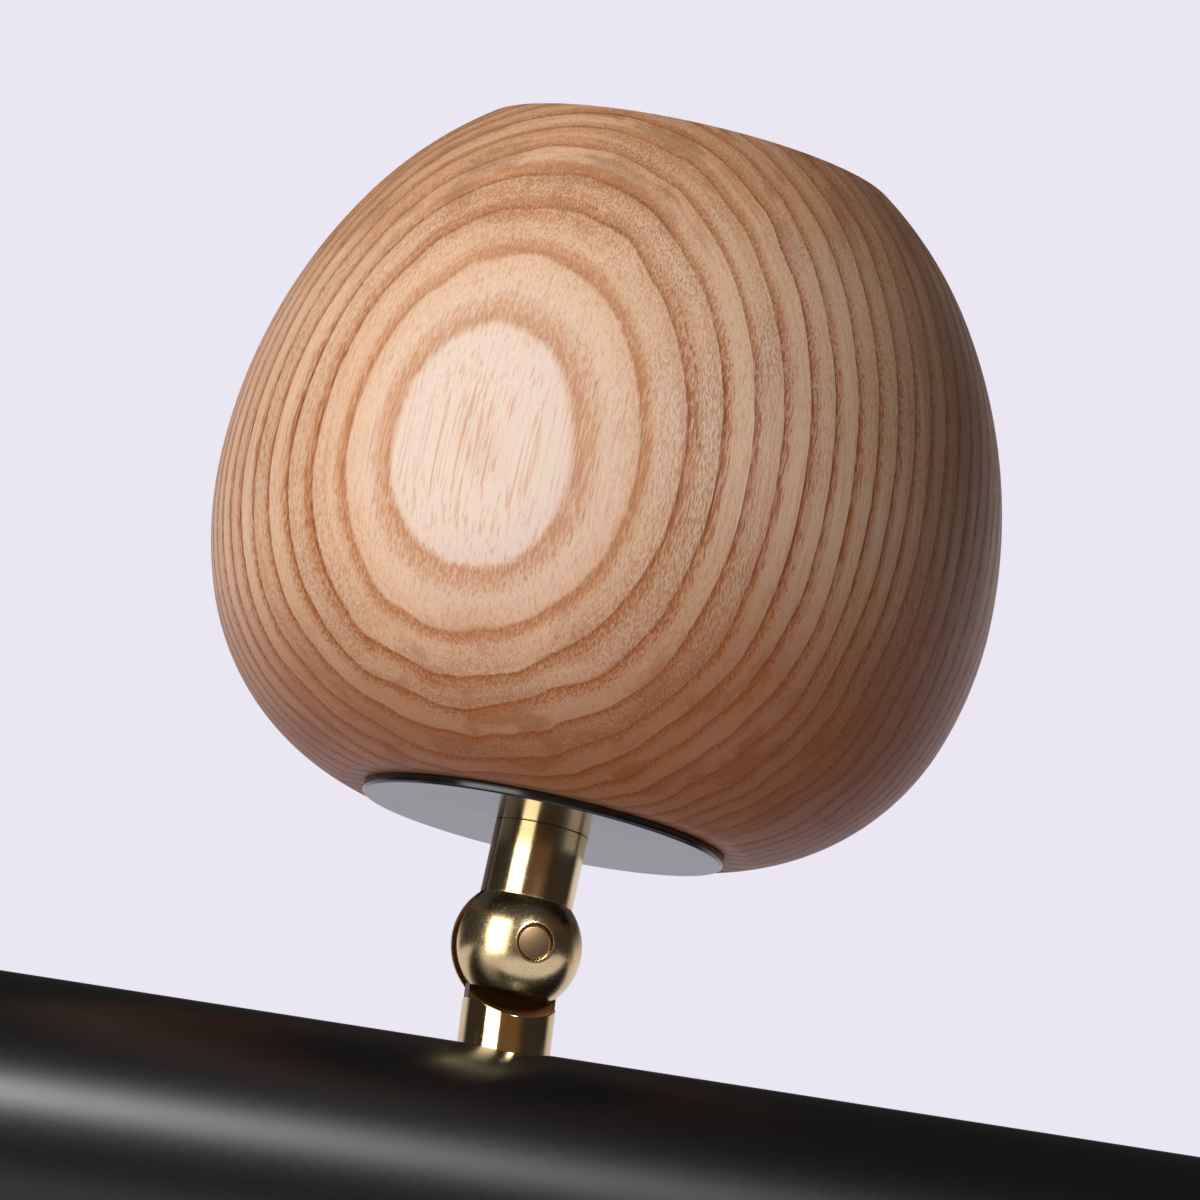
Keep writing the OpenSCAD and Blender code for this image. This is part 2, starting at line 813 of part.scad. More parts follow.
module bulb_dome() {
    r = bulb_d / 2;
    color(frosted)
    on_head()
    translate([0, 0, glass_z])
    difference() {
        union() {
            cylinder(r = r, h = bulb_straight);
            translate([0, 0, bulb_straight]) sphere(r = r);
        }
        translate([0, 0, -past]) cylinder(r = r - bulb_wall, h = bulb_straight + past);
        translate([0, 0, bulb_straight]) sphere(r = r - bulb_wall);
    }
}

// Two leads from the flat under the ball, past the pin, up the nipple and out to the lampholder's underside
module head_leads() {
    in_y = lead_d;
    for (side = [-1, 1])
        color(side < 0 ? lead_brown : lead_blue)
        on_head()
        lead([
            [lead_hole_x, side * lead_hole_y, -ball_cut],
            [lead_hole_x, side * lead_hole_y, thread_floor_z],
            [lead_d, side * in_y, nipple_z],
            [0, side * in_y, nipple_end_z - nut_t],
            [side * in_y, side * in_y, nipple_end_z],
            [side * contact_pitch / 2, side * in_y, holder_z - lead_d / 2]
        ]);
}

bar_tube();
end_cap_left();
end_cap_right();
hanger_left();
hanger_right();
hanger_saddles();
hanger_nuts();
stem_saddle();
stop_pin();
terminal_block();
terminal_screws();
bar_leads();
swivel_base();
stem_tab_washer();
stem_spring_washer();
stem_nut();
stem_leads();
swivel_ball();
pivot_pin();
friction_washers();
head_nipple();
shade_plate();
wood_shade();
floor_washer();
lamp_bracket();
nipple_nut();
lampholder();
lampholder_screws();
lamp_contacts();
bulb_base();
bulb_pins();
bulb_core();
bulb_dome();
head_leads();
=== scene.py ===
"""One light of a wooden chandelier: looks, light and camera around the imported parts. Metres, +Z up."""
import math

import bmesh
import bpy
from mathutils import Matrix, Vector


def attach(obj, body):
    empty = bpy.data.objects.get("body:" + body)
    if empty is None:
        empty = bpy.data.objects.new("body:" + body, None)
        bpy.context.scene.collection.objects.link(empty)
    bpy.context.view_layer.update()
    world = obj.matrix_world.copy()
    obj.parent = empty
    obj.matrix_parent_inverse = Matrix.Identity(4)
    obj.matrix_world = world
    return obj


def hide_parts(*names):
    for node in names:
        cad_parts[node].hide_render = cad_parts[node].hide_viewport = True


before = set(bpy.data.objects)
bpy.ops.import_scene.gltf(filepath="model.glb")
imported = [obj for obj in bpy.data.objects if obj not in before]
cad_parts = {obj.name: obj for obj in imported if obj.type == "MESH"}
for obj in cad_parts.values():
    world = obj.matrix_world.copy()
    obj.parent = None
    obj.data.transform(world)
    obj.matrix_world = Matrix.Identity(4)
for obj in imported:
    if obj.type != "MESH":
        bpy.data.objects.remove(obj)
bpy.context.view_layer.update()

# Sizes in millimetres, as in the part's source: _R is a radius, _Z a height, _T a thickness
MM = 0.001
FIT_GAP = 0.05
PIN_Z = 3.5
LEAN = math.radians(5.5)
CROWN_Z = -12.0
BAR_R, BORE_R, BAR_LEN = 25.0, 22.5, 360.0
BAR_Z = CROWN_Z - BAR_R
HANGER_PITCH = 280.0
STEM_R, THREAD_R, LEAD_BORE_R = 7.0, 5.0, 3.5
SEAT_R, SEAT_RIM = 7.3, 0.3
SEAT_Z = BAR_Z + math.sqrt(BAR_R ** 2 - (SEAT_R + SEAT_RIM) ** 2)
STEM_END_Z, HANGER_END_Z = -26.717, -22.679
BALL_R, BALL_CUT, NECK_RISE = 9.8, 7.5, 18.0
SLOT_R, SLOT_HALF, SLOT_TOP = 9.5, 1.5, 6.86
CUP_R, TONGUE_R, TONGUE_HALF = 11.0, 9.2, 1.1
PIN_R, PIN_MOUTH_R, PIN_MOUTH_DEPTH = 2.5, 2.8, 1.8
PIN_RECESS, PIN_HEAD_R, PIN_HEAD_T, PIN_SLOT = 0.8, 3.6, 2.2, 0.9
PIN_BORE_R, THREAD_BORE_R = PIN_R + FIT_GAP, THREAD_R + FIT_GAP
PLATE_R, PLATE_T = 27.5, 1.5
WOOD_Z = NECK_RISE + PLATE_T
SHADE_R, BELLY_H, SIDE_R, SIDE_ARC = 59.0, 42.8, 80.0, 33.0
SHOULDER_R, BELLY_R, BELLY_ARC, BASE_R = 60.0, 57.0, 20.0, 38.0
RIM_R, MOUTH_R, WALL, FLOOR_T, RIM_ROUND = 31.0, 24.0, 6.0, 10.0, 0.8
FLOOR_Z = WOOD_Z + FLOOR_T
WASHER_R, WASHER_T = 11.0, 1.5
STRAP_Z, STRAP_T, STRAP_W = FLOOR_Z + WASHER_T, 1.2, 14.0
HOLDER_Z, HOLDER_W, HOLDER_D, HOLDER_H = 38.7, 24.0, 14.0, 17.0
BULB_Z, BULB_R, BULB_BASE_H, BULB_BASE_D = HOLDER_Z + HOLDER_H, 8.0, 8.0, 10.0
GLASS_Z, BULB_STRAIGHT, BULB_WALL = BULB_Z + BULB_BASE_H, 24.0, 1.0


def raised(z):
    """A move up, in millimetres."""
    return Matrix.Translation((0, 0, z * MM))


UPRIGHT = raised(PIN_Z)
PIN = UPRIGHT.to_translation()
HEAD = UPRIGHT @ Matrix.Rotation(LEAN, 4, "Y")
ALONG_BAR = raised(BAR_Z) @ Matrix.Rotation(math.pi / 2, 4, "Y")
TO_REAR = Matrix.Rotation(-math.pi / 2, 4, "X")
TO_FRONT = Matrix.Rotation(math.pi / 2, 4, "X")


# Node sums

class Value:
    """A node socket that takes part in Python sums."""

    def __init__(self, nodes, socket):
        self.nodes = nodes
        self.socket = socket

    def __add__(self, other):
        return self.nodes.maths("ADD", self, other)

    def __sub__(self, other):
        return self.nodes.maths("SUBTRACT", self, other)

    def __rsub__(self, other):
        return self.nodes.maths("SUBTRACT", other, self)

    def __mul__(self, other):
        return self.nodes.maths("MULTIPLY", self, other)

    def __truediv__(self, other):
        return self.nodes.maths("DIVIDE", self, other)

    def __rtruediv__(self, other):
        return self.nodes.maths("DIVIDE", other, self)

    __radd__ = __add__
    __rmul__ = __mul__

    def whole(self):
        return self.nodes.maths("FLOOR", self)

    def rest(self):
        return self.nodes.maths("FRACT", self)

    def size(self):
        return self.nodes.maths("ABSOLUTE", self)

    def root(self):
        return self.nodes.maths("SQRT", self)

    def least(self, other):
        return self.nodes.maths("MINIMUM", self, other)

    def most(self, other):
        return self.nodes.maths("MAXIMUM", self, other)

    def rise(self, low, high):
        """0 below low and 1 above high, with a smooth step between."""
        return self.nodes.node("ShaderNodeMapRange", {"interpolation_type": "SMOOTHSTEP"},
                               {"Value": self, "From Min": low, "From Max": high})

    def fall(self, low, high):
        """1 below low and 0 above high, with a smooth step between."""
        return 1 - self.rise(low, high)


def pick(sockets, key):
    """A socket by place, identifier or name."""
    if isinstance(key, int):
        return sockets[key]
    return next((s for s in sockets if s.identifier == key), None) or sockets[key]


class Nodes:
    """A node tree, built up from Python sums."""

    def __init__(self, tree):
        self.tree = tree
        tree.nodes.clear()

    def node(self, kind, settings=None, sockets=None, out=0):
        """A new node with its settings and then its sockets filled in, as the value of one output."""
        made = self.tree.nodes.new(kind)
        for key, value in (settings or {}).items():
            setattr(made, key, value)
        for key, value in (sockets or {}).items():
            socket = pick(made.inputs, key)
            if isinstance(value, Value):
                self.tree.links.new(value.socket, socket)
            else:
                socket.default_value = value
        return Value(self, pick(made.outputs, out))

    def maths(self, operation, *terms):
        return self.node("ShaderNodeMath", {"operation": operation}, dict(enumerate(terms)))

    def parts(self, vector):
        split = self.node("ShaderNodeSeparateXYZ", None, {0: vector}).socket.node
        return [Value(self, s) for s in split.outputs]

    def joined(self, x=0.0, y=0.0, z=0.0):
        return self.node("ShaderNodeCombineXYZ", None, {0: x, 1: y, 2: z})

    def noise(self, vector, cells, detail=2.0, roughness=0.5):
        """Noise from 0 to 1, with its cells per millimetre, for all axes or for each."""
        if not isinstance(cells, tuple):
            cells = (cells,) * 3
        scaled = self.node("ShaderNodeVectorMath", {"operation": "MULTIPLY"}, {0: vector, 1: cells})
        return self.node("ShaderNodeTexNoise", None, {
            "Vector": scaled, "Scale": 1.0, "Detail": detail, "Roughness": roughness}, "Fac")

    def chance(self, count):
        """A number from 0 to 1 that stays the same all through one whole count."""
        return self.node("ShaderNodeTexWhiteNoise", {"noise_dimensions": "1D"}, {"W": count}, "Value")

    def mix(self, factor, a, b):
        return self.node("ShaderNodeMix", {"data_type": "RGBA"},
                         {"Factor_Float": factor, "A_Color": a, "B_Color": b}, "Result_Color")

    def glow(self, colour):
        return self.node("ShaderNodeEmission", None, {"Color": colour})

    def mix_shaders(self, factor, a, b):
        return self.node("ShaderNodeMixShader", None, {0: factor, 1: a, 2: b})

    def seen_by(self, ray):
        """1 for one kind of ray: Camera, Glossy or Transmission."""
        return self.node("ShaderNodeLightPath", out="Is " + ray + " Ray")

    def seen_in_gloss(self):
        """1 where a mirrored or refracted ray looks, 0 for the camera and for soft light."""
        return self.seen_by("Glossy").most(self.seen_by("Transmission"))


class Finish(Nodes):
    """A surface finish: one principled shader and the nodes that feed it."""

    def __init__(self, name, **constants):
        self.material = bpy.data.materials.new(name)
        self.material.use_nodes = True
        super().__init__(self.material.node_tree)
        self.shader = self.tree.nodes.new("ShaderNodeBsdfPrincipled")
        self.output = self.tree.nodes.new("ShaderNodeOutputMaterial")
        self.tree.links.new(self.shader.outputs[0], self.output.inputs["Surface"])
        for key, value in constants.items():
            self.shader.inputs[key.replace("_", " ")].default_value = value

    def place(self, at=(0, 0, 0), turn=(0, 0, 0)):
        """Object coordinates in millimetres, in a frame set at a point and turned."""
        here = self.node("ShaderNodeTexCoord", out="Object")
        return self.node("ShaderNodeMapping", {"vector_type": "TEXTURE"},
                         {"Vector": here, "Location": at, "Rotation": turn, "Scale": (MM, MM, MM)})

    def feed(self, **values):
        for key, value in values.items():
            self.tree.links.new(value.socket, self.shader.inputs[key.replace("_", " ")])

    def bump(self, height, strength, depth):
        """Small relief, its depth in millimetres."""
        self.feed(Normal=self.node("ShaderNodeBump", None, {
            "Strength": strength, "Distance": depth * MM, "Height": height}, "Normal"))


def srgb(r, g, b):
    """A colour as it is seen, 0 to 255, for a shader socket."""
    def linear(c):
        c /= 255
        return c / 12.92 if c <= 0.04045 else ((c + 0.055) / 1.055) ** 2.4
    return linear(r), linear(g), linear(b), 1.0


# Ash wood, with lengths in millimetres

PITH_REACH = 122.0              # from the tree's middle to the shade's nearest surface
RING = 4.0                      # growth of one year
FIRST_LINE = 2.75               # depth of the first year line below the nearest surface
FACE = math.radians(-36.75)     # where the nearest surface is, round the shade
RING_LEAN = math.radians(-11.2)
SEASON_SHIFT = 40.5             # sets the second chance of a year apart from the first
HEART, PALE, TAN = srgb(242, 219, 201), srgb(240, 200, 166), srgb(217, 156, 110)
AMBER, BROWN, RUST = srgb(206, 138, 88), srgb(172, 104, 60), srgb(134, 70, 35)
UMBER, END_GRAIN_AND_SHADE_BROWN = srgb(146, 90, 54), srgb(154, 77, 16)
CORE_TAN, FLECK_GREY = srgb(219, 158, 112), srgb(184, 139, 108)


def pith_frame(lean):
    """The tree's frame: Z along the grain, on the pith, X from the shade towards it."""
    out = Vector((math.sin(FACE), -math.cos(FACE), 0))
    up = Vector((0, 0, 1))
    grain = up * math.cos(lean) + up.cross(out) * math.sin(lean)
    pith = (out * (SHADE_R + PITH_REACH) + up * (WOOD_Z + BELLY_H)) * MM
    turn = Matrix((out, grain.cross(out), grain)).transposed()
    whole = HEAD @ Matrix.Translation(pith) @ turn.to_4x4()
    return whole.to_translation(), whole.to_euler("XYZ")


def tree_rings(wood, grain):
    """Each point's place across and up the tree, its depth below the nearest surface, and its years."""
    x, across, up = wood.parts(wood.place(*pith_frame(RING_LEAN)))
    reach = (x * x + across * across).root() - PITH_REACH
    # Rings are bent: by a low ridge under the first face, a slow sway, and finer wander and ripple
    rim, foot = up.rise(8.0, 44.0), (0 - up).rise(8.0, 44.0)
    ridge = (1 - (across + 6.0).size() / 9.0).most(0.0) * (0 - up).rise(18.0, 30.0)
    sway = (wood.noise(grain, (0.045, 0.045, 0.02), 1.0) - 0.5) * (1.1 + 4.5 * foot)
    wander = (wood.noise(grain, (0.12, 0.12, 0.05), 1.0) - 0.5) * (0.4 + rim + 2.2 * foot)
    ripple = (wood.noise(grain, (0.35, 0.35, 0.08), 2.0) - 0.5) * 0.3
    depth = reach + sway + wander + ripple - 0.7 * ridge
    # Rings are wider in two opposite quarters of the front, and even at the back
    skew = across * up / (across * across + up * up + 25.0)
    width = RING * (0.96 + 0.124 * reach.fall(80.0, 108.0) * skew)
    return across, up, depth, (depth - FIRST_LINE) / width


def ash_wood():
    """Ring-porous ash: a dark line and a fringe of pores start each year, flecked paler wood ends it."""
    wood = Finish("ash wood", Specular_IOR_Level=0.22)
    grain = wood.place(*pith_frame(0.0))
    across, up, depth, years = tree_rings(wood, grain)
    down = 0 - up
    turn, count = years.rest(), years.whole()
    year, season = wood.chance(count), wood.chance(count + SEASON_SHIFT)

    # Zones: faint lines in the first face, calm ones towards the rim, soft ones at the side, a brown foot
    firm = depth.rise(2.0, 13.0)
    calm = 1 - 0.5 * up.rise(6.0, 34.0)
    soft = depth.rise(38.0, 54.0) * depth.fall(84.0, 100.0)
    # The brown foot is end grain and painted shade together: it grows away from the first face and fades
    # at the back.
    foot = down.rise(2.0, 36.0) * (0.20 + 0.54 * depth.rise(6.0, 24.0))
    foot = foot * (1 - 0.6 * depth.rise(72.0, 104.0))

    # Parts of a year: its edge, its line, a faint second line and the porous early wood
    edge = turn.rise(0.84 + 0.11 * firm, 1.0)
    line = turn.fall(0.0, 0.13).most(edge)
    twin = (turn - 0.27).size().fall(0.0, 0.05) * season.rise(0.35, 0.75)
    porous = turn.fall(0.03, 0.36 + 0.26 * year).most(edge)

    # Textures along the grain
    pore = wood.noise(grain, (3.2, 3.2, 0.26), 1.0, 0.6)
    fleck = wood.noise(grain, (3.6, 3.6, 0.9), 1.0)
    fibre = wood.noise(grain, (2.4, 2.4, 0.06), 2.0)
    streak = wood.noise(grain, (0.9, 0.9, 0.012), 3.0, 0.6)
    cloud = wood.noise(grain, (0.055, 0.055, 0.03), 3.0)
    fade = wood.noise(grain, (0.07, 0.07, 0.03), 2.0).rise(0.32, 0.62)
    core = wood.noise(grain, (1.7, 1.7, 0.035), 1.0).rise(0.55, 0.70) * depth.fall(0.4, 1.7)

    # Textures in sheets that follow the rings
    sheets = wood.joined(depth, across * 0.03, up * 0.012)
    band = wood.noise(sheets, (1.2, 1.0, 1.0), 3.0, 0.65)
    stripe = wood.noise(sheets, (0.40, 1.0, 1.0), 2.0).rise(0.40, 0.62) * soft
    flame = wood.noise(sheets, (0.22, 3.6, 6.5), 3.0, 0.6).rise(0.48, 0.64)
    flame = flame * (0.7 * up.rise(24.0, 48.0) + down.rise(14.0, 40.0))

    # Pores and flecks where the year has them
    dashes = (pore + 0.24 * (porous - 0.5)).rise(0.54, 0.65) * porous.rise(0.0, 0.4)
    flecked = (0.15 + 0.85 * season.rise(0.1, 0.8)) * (0.25 + 0.75 * firm)
    flecked = flecked * (0.35 + 0.9 * cloud.rise(0.36, 0.60))
    dark_fleck = fleck.rise(0.49, 0.66) * flecked
    pale_fleck = (0.5 - fleck).rise(0.0, 0.14) * flecked

    # How tan the ground is, and how strongly a year line shows
    tone = porous * 0.55 + turn.rise(0.6, 1.0) * 0.16 + (season - 0.5) * firm * 0.5 - 0.10
    # Towards the rim the ground turns more tan: end grain and painted shade.
    tone = tone + depth.rise(14.0, 42.0) * 0.22 + up.rise(28.0, 46.0) * 0.66
    tone = tone + (streak - 0.5) * 0.8 + (cloud - 0.5) * 0.4
    tone = tone + (band - 0.5) * depth.rise(2.0, 12.0) * 2.6
    strength = (0.12 + (0.22 + 0.64 * year) * firm) * (0.5 + 0.5 * fade) * (0.62 + 0.6 * dashes)
    strength = strength * (1 - 0.55 * soft) * (0.3 + 0.7 * calm) * (1 - 0.4 * down.rise(10.0, 36.0))

    # Coats of colour in their order: how far each covers, and its colour
    coats = (
        (tone.most(0.0).least(1.0), TAN),
        ((fibre - 0.5).rise(0.0, 0.22) * 0.5, TAN),
        ((0.5 - fibre).rise(0.0, 0.2) * firm * 0.34, HEART),
        (core * 0.6, CORE_TAN),
        (flame * 0.62, UMBER),
        (flecked * firm * calm * 0.30, FLECK_GREY),
        (pale_fleck * 0.24, HEART),
        (dark_fleck * 0.39, BROWN),
        (porous * calm * (0.16 + 0.34 * firm), AMBER),
        (dashes * calm * (0.56 + 0.22 * firm), wood.mix(firm, AMBER, BROWN)),
        (stripe * 0.4, UMBER),
        ((line.most(twin * 0.5) * strength).least(1.0), RUST),
        (foot, END_GRAIN_AND_SHADE_BROWN),
    )
    colour = wood.mix(depth.rise(1.2, 7.0), HEART, PALE)
    for cover, coat in coats:
        colour = wood.mix(cover, colour, coat)
    wood.feed(Base_Color=colour, Roughness=0.44 + 0.12 * dashes + 0.10 * (fibre - 0.5))
    wood.bump(fibre * 0.4 - dashes * 0.8 - dark_fleck * 0.6 + pale_fleck * 0.5, strength=0.5, depth=0.06)
    return wood.material


# Brass

BRIGHT_BRASS, WORN_BRASS = srgb(232, 211, 164), srgb(212, 182, 126)
# Of the two colours below, the second is painted shade for the brass hollows.
PITTED_BRASS, HOLLOW_SHADE_BRASS = srgb(168, 128, 80), srgb(96, 66, 38)
SKIN = 0.02                    # how near a wall still counts as inside it, in millimetres
BLEND, BALL_BLEND = 0.12, 0.28     # over what length outside a wall its look ends, and outside the ball
CUP_SHADE = (-6.4, -5.4)       # heights from the pin between which the cup's painted shade ends


def brass(name, rough=0.08, bright=BRIGHT_BRASS, worn=WORN_BRASS, hollow=None, sanded=None):
    """Turned brass. Masks give a hollow with painted shade, also left rougher, and a part sanded duller.
    """
    metal = Finish(name, Metallic=1.0)
    head = in_head(metal)
    tarnish = metal.noise(head, (0.16, 0.16, 0.12), 3.0)
    lines = metal.noise(head, (0.3, 0.3, 8.0), 2.0)
    grit = metal.noise(head, 2.4, 2.0, 0.6)
    pits = grit.rise(0.60, 0.72)
    colour = metal.mix(tarnish.rise(0.3, 0.75), bright, worn)
    colour = metal.mix(pits * 0.35, colour, PITTED_BRASS)
    rough = rough + 0.06 * tarnish + 0.08 * pits
    if sanded:
        rough = rough + sanded(metal) * (0.05 + 0.16 * (grit - 0.3).most(0.0))
    # Painted shade: the hollow is darkened where shade falls in it, and is also left rougher.
    if hollow:
        inside = hollow(metal)
        colour = metal.mix(inside, colour, HOLLOW_SHADE_BRASS)
        rough = rough + 0.25 * inside
    metal.feed(Base_Color=colour, Roughness=rough)
    metal.bump(lines * 0.5 + grit - pits * 0.6, strength=0.16, depth=0.03)
    return metal.material


def in_head(metal):
    """The head's own frame, with its origin on the pin."""
    return metal.place(PIN, (0, LEAN, 0))


def within(distance, wall, blend=BLEND):
    """1 up to a wall and 0 outside it."""
    return distance.fall(wall + SKIN, wall + SKIN + blend)


def shade_under_ball(metal):
    """Where shade is painted: the flat under the ball and the inside of its slot."""
    _, y, z = metal.parts(in_head(metal))
    return within(z, -BALL_CUT).most(within(y.size(), SLOT_HALF))


def round_of_ball(metal):
    """The ball itself, without its neck."""
    x, y, z = metal.parts(in_head(metal))
    return within((x * x + y * y + z * z).root(), BALL_R, BALL_BLEND)


def shade_in_stem_cup(metal):
    """Where shade is painted: the hollow on top of the stem, and the tongue in it."""
    x, _, z = metal.parts(metal.place(PIN))
    return within((x * x + z * z).root(), CUP_R) * z.fall(*CUP_SHADE)


# Other finishes

def black_coat():
    coat = Finish("black powder coat", Specular_IOR_Level=0.6)
    here = coat.place()
    peel = coat.noise(here, (0.8, 1.6, 1.6), 2.0)
    dust = coat.noise(here, 4.0, 1.0).rise(0.68, 0.76)
    colour = coat.mix(dust * 0.3, srgb(18, 18, 20), srgb(56, 56, 60))
    coat.feed(Base_Color=colour, Roughness=0.27 + 0.10 * peel)
    coat.bump(peel, strength=0.12, depth=0.05)
    return coat.material


def black_lacquer():
    coat = Finish("black lacquer", Specular_IOR_Level=0.6)
    here = coat.place()
    haze = coat.noise(here, 0.12, 3.0)
    grit = coat.noise(here, 3.0, 1.0)
    colour = coat.mix(haze * 0.5, srgb(18, 18, 20), srgb(34, 33, 36))
    coat.feed(Base_Color=colour, Roughness=0.14 + 0.08 * haze)
    coat.bump(grit, strength=0.04, depth=0.03)
    return coat.material


def zinc():
    metal = Finish("zinc plated steel", Metallic=1.0)
    here = metal.place()
    cloud = metal.noise(here, 0.3, 3.0)
    lines = metal.noise(here, (0.3, 6.0, 6.0), 2.0)
    colour = metal.mix(cloud, srgb(196, 199, 204), srgb(160, 164, 172))
    metal.feed(Base_Color=colour, Roughness=0.26 + 0.16 * cloud)
    metal.bump(lines, strength=0.10, depth=0.02)
    return metal.material


def ceramic():
    body = Finish("unglazed ceramic")
    here = body.place()
    cloud = body.noise(here, 0.25, 3.0)
    speck = body.noise(here, 3.5, 1.0).rise(0.68, 0.76)
    colour = body.mix(cloud, srgb(238, 233, 222), srgb(226, 218, 203))
    colour = body.mix(speck * 0.4, colour, srgb(176, 160, 138))
    body.feed(Base_Color=colour, Roughness=0.50 + 0.15 * cloud)
    body.bump(speck + cloud, strength=0.10, depth=0.04)
    return body.material


def frosted_glass():
    glass = Finish("frosted glass", Transmission_Weight=0.8, IOR=1.46)
    here = glass.place()
    frost = glass.noise(here, 5.0, 2.0)
    cloud = glass.noise(here, 0.2, 2.0)
    colour = glass.mix(cloud, srgb(248, 245, 236), srgb(240, 234, 220))
    glass.feed(Base_Color=colour, Roughness=0.42 + 0.14 * frost)
    glass.bump(frost, strength=0.10, depth=0.03)
    return glass.material


def moulded_plastic():
    body = Finish("moulded plastic")
    skin = body.noise(body.place(), 2.0, 2.0)
    colour = body.mix(skin, srgb(232, 232, 228), srgb(218, 218, 212))
    body.feed(Base_Color=colour, Roughness=0.42 + 0.12 * skin)
    body.bump(skin, strength=0.08, depth=0.03)
    return body.material


def lead_insulation():
    """Brown for the front lead of each pair and blue for the rear one."""
    sleeve = Finish("lead insulation")
    here = sleeve.place()
    _, y, _ = sleeve.parts(here)
    scuff = sleeve.noise(here, (1.5, 1.5, 0.3), 2.0)
    colour = sleeve.mix(y.rise(-0.1, 0.1), srgb(107, 66, 38), srgb(58, 98, 168))
    colour = sleeve.mix(scuff * 0.25, colour, srgb(150, 146, 142))
    sleeve.feed(Base_Color=colour, Roughness=0.38 + 0.18 * scuff)
    sleeve.bump(scuff, strength=0.06, depth=0.03)
    return sleeve.material


ASH, COAT, LACQUER = ash_wood(), black_coat(), black_lacquer()
BRASS = brass("turned brass")
DULL_BRASS = brass("dull brass", 0.30, srgb(156, 129, 96), srgb(140, 111, 80))
BALL_BRASS = brass("ball brass", 0.11, hollow=shade_under_ball, sanded=round_of_ball)
STEM_BRASS = brass("stem brass", 0.05, hollow=shade_in_stem_cup)
ZINC, CERAMIC, GLASS = zinc(), ceramic(), frosted_glass()
PLASTIC, SLEEVE = moulded_plastic(), lead_insulation()


# Outlines and meshes, drawn in millimetres

SAME_POINT = 0.001     # corners closer than this are one
WELD = 0.004           # the same, at the seams of a cut
ON_PLANE = 0.0001      # how near a plane counts as on it


def arc(centre, radius, start, end, steps):
    """Points on an arc of an outline, from one angle to another, in degrees."""
    turn = [math.radians(start + (end - start) * i / steps) for i in range(steps + 1)]
    return [(centre[0] + radius * math.cos(a), centre[1] + radius * math.sin(a)) for a in turn]


def rod(radius, low, high):
    """The half outline of a plain round rod."""
    return [(0, low), (radius, low), (radius, high), (0, high)]


def eased(corners, steps=4):
    """A closed outline from corners (across, up, round): each corner with a round gets an arc."""
    points = []
    for i, (r, z, ease) in enumerate(corners):
        here = Vector((r, z))
        back = Vector(corners[i - 1][:2]) - here
        ahead = Vector(corners[(i + 1) % len(corners)][:2]) - here
        if not ease:
            points.append((r, z))
            continue
        half = back.angle(ahead) / 2
        tangent = ease / math.tan(half)
        middle = here + (back.normalized() + ahead.normalized()).normalized() * (ease / math.sin(half))
        first = here + back.normalized() * tangent - middle
        swing = first.angle_signed(here + ahead.normalized() * tangent - middle)
        for k in range(steps + 1):
            points.append(tuple(middle + Matrix.Rotation(-swing * k / steps, 2) @ first))
    return points


def turning_tree():
    """Geometry nodes that turn half an outline round Z and set out copies in a row along X."""
    tree = bpy.data.node_groups.new("turned piece", "GeometryNodeTree")
    inputs = {"Outline": "Geometry", "Segments": "Int", "Copies": "Int", "Pitch": "Float",
              "Turn": "Float", "Finish": "Material"}
    for name, kind in inputs.items():
        tree.interface.new_socket(name, in_out="INPUT", socket_type="NodeSocket" + kind)
    tree.interface.new_socket("Piece", in_out="OUTPUT", socket_type="NodeSocketGeometry")
    plan = Nodes(tree)
    given = tree.nodes.new("NodeGroupInput")
    outline, segments, copies, pitch, turn, finish = (Value(plan, given.outputs[name]) for name in inputs)

    # A grid with the outline along its columns, rolled up round Z
    points = plan.node("GeometryNodeAttributeDomainSize", None, {"Geometry": outline}, "Point Count")
    grid = plan.node("GeometryNodeMeshGrid", None, {
        "Vertices X": segments + 1, "Vertices Y": points}, "Mesh")
    index = plan.node("GeometryNodeInputIndex")
    step = plan.maths("FLOORED_MODULO", index, points)
    angle = (index - step) / points / segments * (2 * math.pi)
    corner = plan.node("GeometryNodeSampleIndex", {"data_type": "FLOAT_VECTOR"}, {
        "Geometry": outline, "Value": plan.node("GeometryNodeInputPosition"), "Index": step}, "Value")
    across, _, up = plan.parts(corner)
    place = plan.joined(across * plan.maths("COSINE", angle), across * plan.maths("SINE", angle), up)
    shell = plan.node("GeometryNodeSetPosition", None, {"Geometry": grid, "Position": place})
    shell = plan.node("GeometryNodeMergeByDistance", None, {
        "Geometry": shell, "Distance": SAME_POINT * MM})

    # Copies in a row about the middle, each turned towards its own side
    last = copies - 1
    row = plan.node("GeometryNodeMeshLine", {"mode": "OFFSET"}, {
        "Count": copies, "Start Location": plan.joined(last * pitch * -0.5),
        "Offset": plan.joined(pitch)})
    facing = plan.joined(y=(index * 2 - last) * turn)
    pieces = plan.node("GeometryNodeInstanceOnPoints", None, {
        "Points": row, "Instance": shell, "Rotation": facing})
    real = plan.node("GeometryNodeRealizeInstances", None, {"Geometry": pieces})
    done = plan.node("GeometryNodeSetMaterial", None, {"Geometry": real, "Material": finish})
    result = tree.nodes.new("NodeGroupOutput")
    tree.links.new(done.socket, result.inputs["Piece"])
    return tree


TURNING = turning_tree()


def placed(name, data):
    """A new object in the scene."""
    obj = bpy.data.objects.new(name, data)
    bpy.context.scene.collection.objects.link(obj)
    return obj


def settle(obj):
    """Makes a piece a plain mesh, with what its modifiers did."""
    graph = bpy.context.evaluated_depsgraph_get()
    mesh = bpy.data.meshes.new_from_object(obj.evaluated_get(graph), depsgraph=graph)
    obj.modifiers.clear()
    obj.data = mesh
    mesh.name = obj.name


